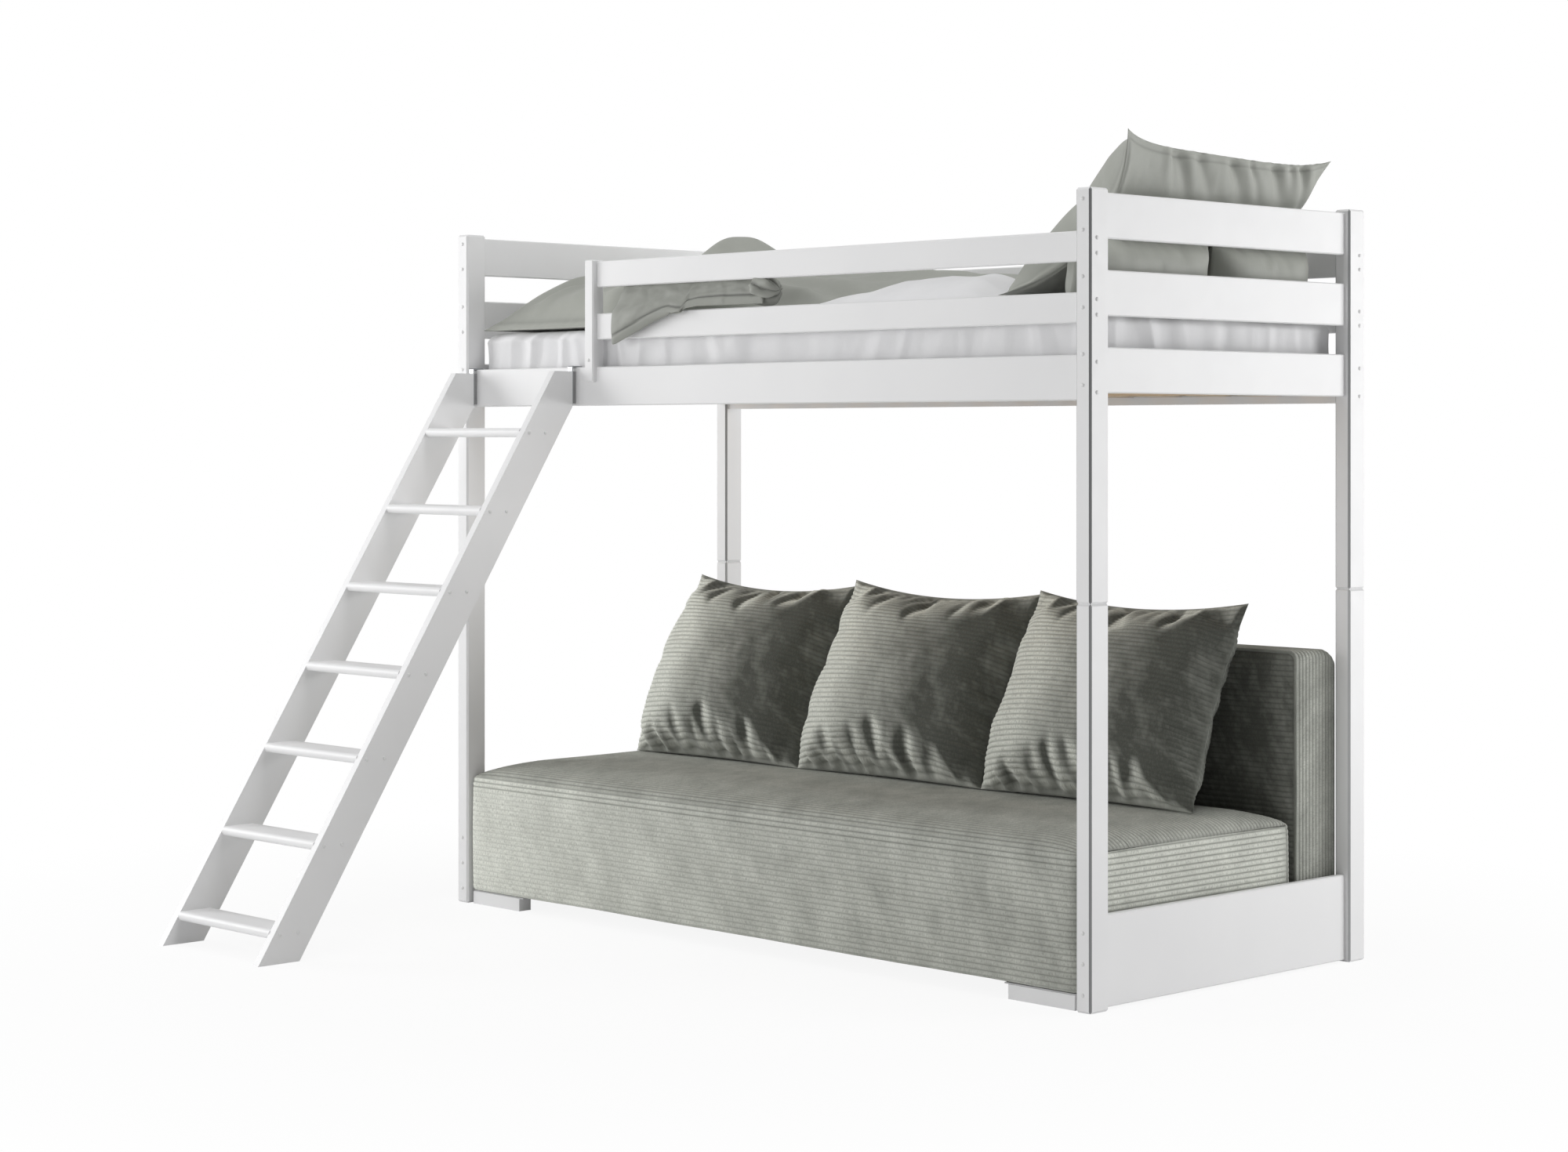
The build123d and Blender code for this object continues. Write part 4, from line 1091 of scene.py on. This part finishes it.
def makeDuvet():
    columns = int(duvet["length"] / duvet["step"]) + 1
    rows = int(duvet["width"] / duvet["step"]) + 1
    us, vs = np.linspace(0, 1, columns), np.linspace(0, 1, rows)
    points, below, paintedShade = [], [], []
    for u in us:
        x = duvet["start"] + u * duvet["length"]
        frontShare = float(np.interp(u, duvet["places"], duvet["fronts"]))
        y0 = duvet["front"] + frontShare * duvet["width"]
        y1 = duvet["front"] + duvet["width"]
        heights = [float(softTable(u, duvet["places"], row)) for row in duvet["heights"]]
        for v in vs:
            y = y0 + v * (y1 - y0)
            base = float(softTable(v, duvet["folds"], heights)) * duvet["height"]
            toFront = v * (y1 - y0)
            toEdge = min(toFront, (1 - v) * (y1 - y0), u * duvet["length"], (1 - u) * duvet["length"])
            big = ease(min(1, toEdge / 90))
            a = wobble(x / 260 + y / 500, y / 190 - x / 900, 0, 11)
            b = 1 - abs(wobble(x / 150 - y / 260, y / 230 + x / 420, 0, 12)) * 2.6
            z = base + big * (10 * a + 7 * max(-0.4, b) + ridgeHeight(x, y, duvet["ridges"]) - 6)
            hem = duvet["flange"]
            pucker = wobble(x / 9, y / 9, 0, 14) * 3.4 + wobble(x / 22, y / 22, 0, 16) * 2.4
            if toEdge < hem:
                z = 3.5 + toEdge / hem * 19 + pucker * min(1, toEdge / 8) * min(1, (hem - toEdge + 3) / 9)
            else:
                swell = 1 - (1 - min(1, (toEdge - hem) / 55)) ** 2
                z = 22.5 + (max(24.0, z) - 22.5) * swell + pucker * 0.5 * math.exp(-(toEdge - hem) / 14)
            z -= 4.0 * math.exp(-((toEdge - hem) / 3.6) ** 2)
            points.append(place(x, y, duvet["base"] + max(1.0, z)))
            below.append(place(x, y, duvet["base"]))
            # painted shade along the sunken hem seam
            paintedShade.append(math.exp(-((toEdge - hem) / 3.4) ** 2) * 0.8)
    faces = slabFaces(columns, rows, 0, len(points), flip=True)
    piece = addPiece("duvetSatin", points + below, faces, beddingSatin, "frame",
                     {"seam": paintedShade + [0] * len(below)})
    finishSoft(piece, "duvet", rounded=True)


flap = {
    "start": 612, "end": 1110, "step": 6, "thickness": 9,
    "inside": ((92, 1588), (62, 1576), (40, 1556), (24, 1530), (12, 1506), (2, 1493)),
    "hemHeights": ((612, 624, 700, 760, 829, 900, 1230), (1407, 1409, 1436, 1458, 1480, 1489, 1489)),
    "hemPlaces": ((612, 829, 900, 1000, 1230), (-6, -5, 2, 12, 28)),
    "lowered": ((612, 900, 1100, 1230), (0, 0, 10, 46)), "rows": 58, "thinnest": 3.0, "seamFromHem": 22,
}


def makeFlap():
    xs = np.arange(flap["start"], flap["end"] + 1, flap["step"])
    rows = flap["rows"]
    outer, inner, paintedShade = [], [], []
    for x in xs:
        share = (x - flap["start"]) / (flap["end"] - flap["start"])
        hem, hemY, lower = (float(np.interp(x, *flap[key])) for key in ("hemHeights", "hemPlaces", "lowered"))
        path = [(y + 2 * share, z - lower * (0.3 + 0.7 * min(1, (z - 1490) / 90))) for y, z in flap["inside"]]
        if hem < 1484:
            path += [(-5, 1484), (-7.5, 1474), (hemY - 3, (hem + 1474) / 2), (hemY, hem)]
        else:
            path = [p for p in path if p[0] > hemY + 3] + [(hemY, hem + 2)]
        line, stations = smoothSteps(path, 3.0)
        line = evenSteps(line, np.linalg.norm(np.diff(line, axis=0), axis=1).sum() / (rows - 1))[0]
        normals = sideways(line)
        length = stations[-1]
        for k, ((y, z), (ny, nz)) in enumerate(zip(line, normals)):
            toHem = (1 - k / (rows - 1)) * length
            edge = min(toHem, x - flap["start"] + 2)
            wave = 3.2 * wobble(x / 42, k / 7, 0, 31) + 4.5 * wobble(x / 110 + k / 22, k / 14, 0, 32)
            wave += 1.2 * wobble(x / 16, k / 4, 0, 33)
            seam = math.exp(-((toHem - flap["seamFromHem"]) / 4.0) ** 2)
            full = 0.35 + 0.65 * (1 - (1 - min(1, edge / 30)) ** 2)
            puff = max(flap["thinnest"], flap["thickness"] * full + wave * min(1, edge / 40) - 2.5 * seam)
            out = -puff if ny > 0 else puff
            outer.append(place(x, y + ny * out, z + nz * out))
            inner.append(place(x, y, z))
            paintedShade.append(math.exp(-((toHem - flap["seamFromHem"]) / 2.4) ** 2) * 0.9)
    faces = slabFaces(len(xs), rows, 0, len(outer))
    # painted shade: the whole flap darker, most at its seam
    piece = addPiece("duvetCorner", outer + inner, faces, beddingSatin, "frame",
                     {"seam": [0.24 + 0.76 * s for s in paintedShade] + [0] * len(inner)})
    finishSoft(piece, rounded=True)


knot = {"centre": (1098, 36, 1524), "size": (50, 30, 34), "twist": 3.2, "folds": 5}


def makeKnot():  # the duvet's corner, twisted into a bunch
    rings, sides = 46, 72
    points, paintedShade = [], []
    for ring in range(rings):
        rise = math.pi * ring / (rings - 1)
        for side in range(sides):
            turn = 2 * math.pi * side / sides
            swirl = turn * knot["folds"] + knot["twist"] * rise + 1.4 * wobble(math.cos(turn), math.sin(turn), rise, 51)
            fold = abs(math.sin(swirl / 2)) ** 0.6
            lump = 1 + 0.42 * wobble(1.6 * math.cos(turn), 1.6 * math.sin(turn), 1.3 * rise, 52)
            reach = lump * (0.58 + 0.46 * fold * math.sin(rise) ** 0.7)
            # the poles point left and right, along the rail
            x = math.cos(rise) * (1.0 + 0.12 * fold * math.sin(rise))
            y, z = math.sin(rise) * math.cos(turn) * reach, math.sin(rise) * math.sin(turn) * reach
            cx, cy, cz = knot["centre"]
            sx, sy, sz = knot["size"]
            points.append(place(cx + x * sx, cy + y * sy, cz + z * sz))
            # painted shade, darkest in the folds
            paintedShade.append(0.24 + 0.75 * (1 - fold) ** 2)
    faces = gridFaces(rings, sides, closed=True)
    piece = addPiece("duvetKnot", points, faces, beddingSatin, "frame", {"seam": paintedShade})
    finishSoft(piece, rounded=True)


makeDuvet()
makeFlap()
makeKnot()

# White sheet pushed up beside the duvet

mound = {
    "places": (0, 0.10, 0.25, 0.45, 0.62, 0.80, 0.93, 1),
    "widths": (0.10, 0.16, 0.24, 0.36, 0.41, 0.42, 0.42, 0.42),
    "heights": (0.10, 0.36, 0.66, 0.94, 1.00, 0.90, 0.30, 0.22),
    "folds": (0, 0.30, 0.62, 1), "crest": (0, 0.86, 1, 0),
    "start": 1150, "length": 650, "front": 44, "width": 845, "height": 84, "edge": 5, "base": 1454.5, "step": 7,
}


def makeMound():
    columns, rows = int(mound["length"] / mound["step"]) + 1, 46
    us, vs = np.linspace(0, 1, columns), np.linspace(0, 1, rows)
    points, below = [], []
    for u in us:
        x = mound["start"] + u * mound["length"]
        width = float(softTable(u, mound["places"], mound["widths"])) * mound["width"]
        high = float(softTable(u, mound["places"], mound["heights"])) * (mound["height"] - mound["edge"])
        for v in vs:
            y = mound["front"] + v * width
            crest = float(softTable(v, mound["folds"], mound["crest"]))
            fold = 1 - abs(wobble(x / 120 - y / 160, y / 90 + x / 500, 0, 41)) * 2.6
            small = wobble(x / 45, y / 30, 0, 42)
            z = mound["edge"] + high * max(0.0, crest)
            z += crest * (7 * max(-0.5, fold) + 2.4 * small - 3) * min(1, high / 40)
            points.append(place(x, y, mound["base"] + max(1.2, z)))
            below.append(place(x, y, mound["base"]))
    faces = slabFaces(columns, rows, 0, len(points), flip=True)
    points += below
    piece = addPiece("topSheet", points, faces, sheetCotton, "frame", {"seam": [0] * len(points)})
    finishSoft(piece, "top_sheet", rounded=True)


makeMound()

# Studio: a pale floor, soft light and the camera of the photograph

studio = {
    "lens": 69.888, "sensor": 36, "eye": (6149.78, -4801.85, 1188.45), "turn": 46.5105,
    "shiftX": 0.02117, "shiftY": -0.08949, "world": 0.30, "glow": 0.90, "glowNear": 1.2, "glowFar": 2.6,
    "floorHalf": 40, "floorLevel": -0.0005, "lampSize": 3.0, "lampAway": 6.0, "lampMiddle": 0.2, "lampHeight": 0.9,
    # turn, rise and watts
    "lamps": {"left": (-152, 12, 148), "front": (-98, 5, 74), "right": (45, 4, 172), "top": (0, 80, 150)},
}


def makeStudio():
    scene = bpy.context.scene
    scene.view_settings.view_transform = "Standard"
    world = bpy.data.worlds.new("studioLight")
    scene.world = world
    world.use_nodes = True
    sky = Nodes(world.node_tree)
    light = sky.tree.nodes["Background"]
    light.inputs["Color"].default_value = (1, 1, 1, 1)
    seen = sky.rays("Is Camera Ray", "Is Transmission Ray")
    sky.put(light.inputs["Strength"], sky.add("ShaderNodeMix", {}, {0: seen, 2: studio["world"], 3: 1.0}))

    shader = Shader("floorPale")
    tree = shader.tree
    glow = shader.add("ShaderNodeEmission", {}, {"Color": (1, 1, 1, 1), "Strength": 1.0})
    either = shader.rays("Is Camera Ray", "Is Transmission Ray", "Is Glossy Ray")
    across, along = shader.axes(shader.add("ShaderNodeTexCoord", {}, [], "Object"))[:2]
    away = across * across + along * along
    away = away.math("SQRT", away)
    fade = ((away - studio["glowNear"]) / (studio["glowFar"] - studio["glowNear"])).clamp()
    amount = either * (fade * (1 - studio["glow"]) + studio["glow"])
    join = shader.add("ShaderNodeMixShader", {}, [amount, Signal(shader, shader.surface.outputs[0]), glow])
    shader.put(tree.nodes["Material Output"].inputs["Surface"], join)
    shader.finish(Base_Color=(0.86, 0.86, 0.86, 1), Roughness=0.9, Specular_IOR_Level=0.0)
    mesh = bpy.data.meshes.new("studioFloor")
    size, level = studio["floorHalf"], studio["floorLevel"]
    corners = ((-size, -size), (size, -size), (size, size), (-size, size))
    mesh.from_pydata([(x, y, level) for x, y in corners], [], [(0, 1, 2, 3)])
    mesh.materials.append(shader.material)
    floor = bpy.data.objects.new("studioFloor", mesh)
    scene.collection.objects.link(floor)

    for name, (turn, rise, watts) in studio["lamps"].items():
        lamp = bpy.data.lights.new(name + "Lamp", "AREA")
        lamp.energy, lamp.size = watts, studio["lampSize"]
        body = bpy.data.objects.new(name + "Lamp", lamp)
        turn, rise, away = math.radians(turn), math.radians(rise), studio["lampAway"]
        level, height = away * math.cos(rise), studio["lampHeight"]
        y, z = studio["lampMiddle"] + level * math.sin(turn), height + away * math.sin(rise)
        spot = Vector((level * math.cos(turn), y, z))
        body.location = spot
        body.rotation_euler = (Vector((0, 0, height)) - spot).to_track_quat("-Z", "Y").to_euler()
        scene.collection.objects.link(body)

    camera = bpy.data.cameras.new("photoView")
    camera.lens, camera.sensor_width, camera.sensor_fit = studio["lens"], studio["sensor"], "HORIZONTAL"
    camera.shift_x, camera.shift_y = studio["shiftX"], studio["shiftY"]
    camera.clip_end = 100
    view = bpy.data.objects.new("photoView", camera)
    view.location = place(*studio["eye"])
    view.rotation_euler = (math.radians(90), 0, math.radians(studio["turn"]))
    scene.collection.objects.link(view)
    scene.camera = view


makeStudio()
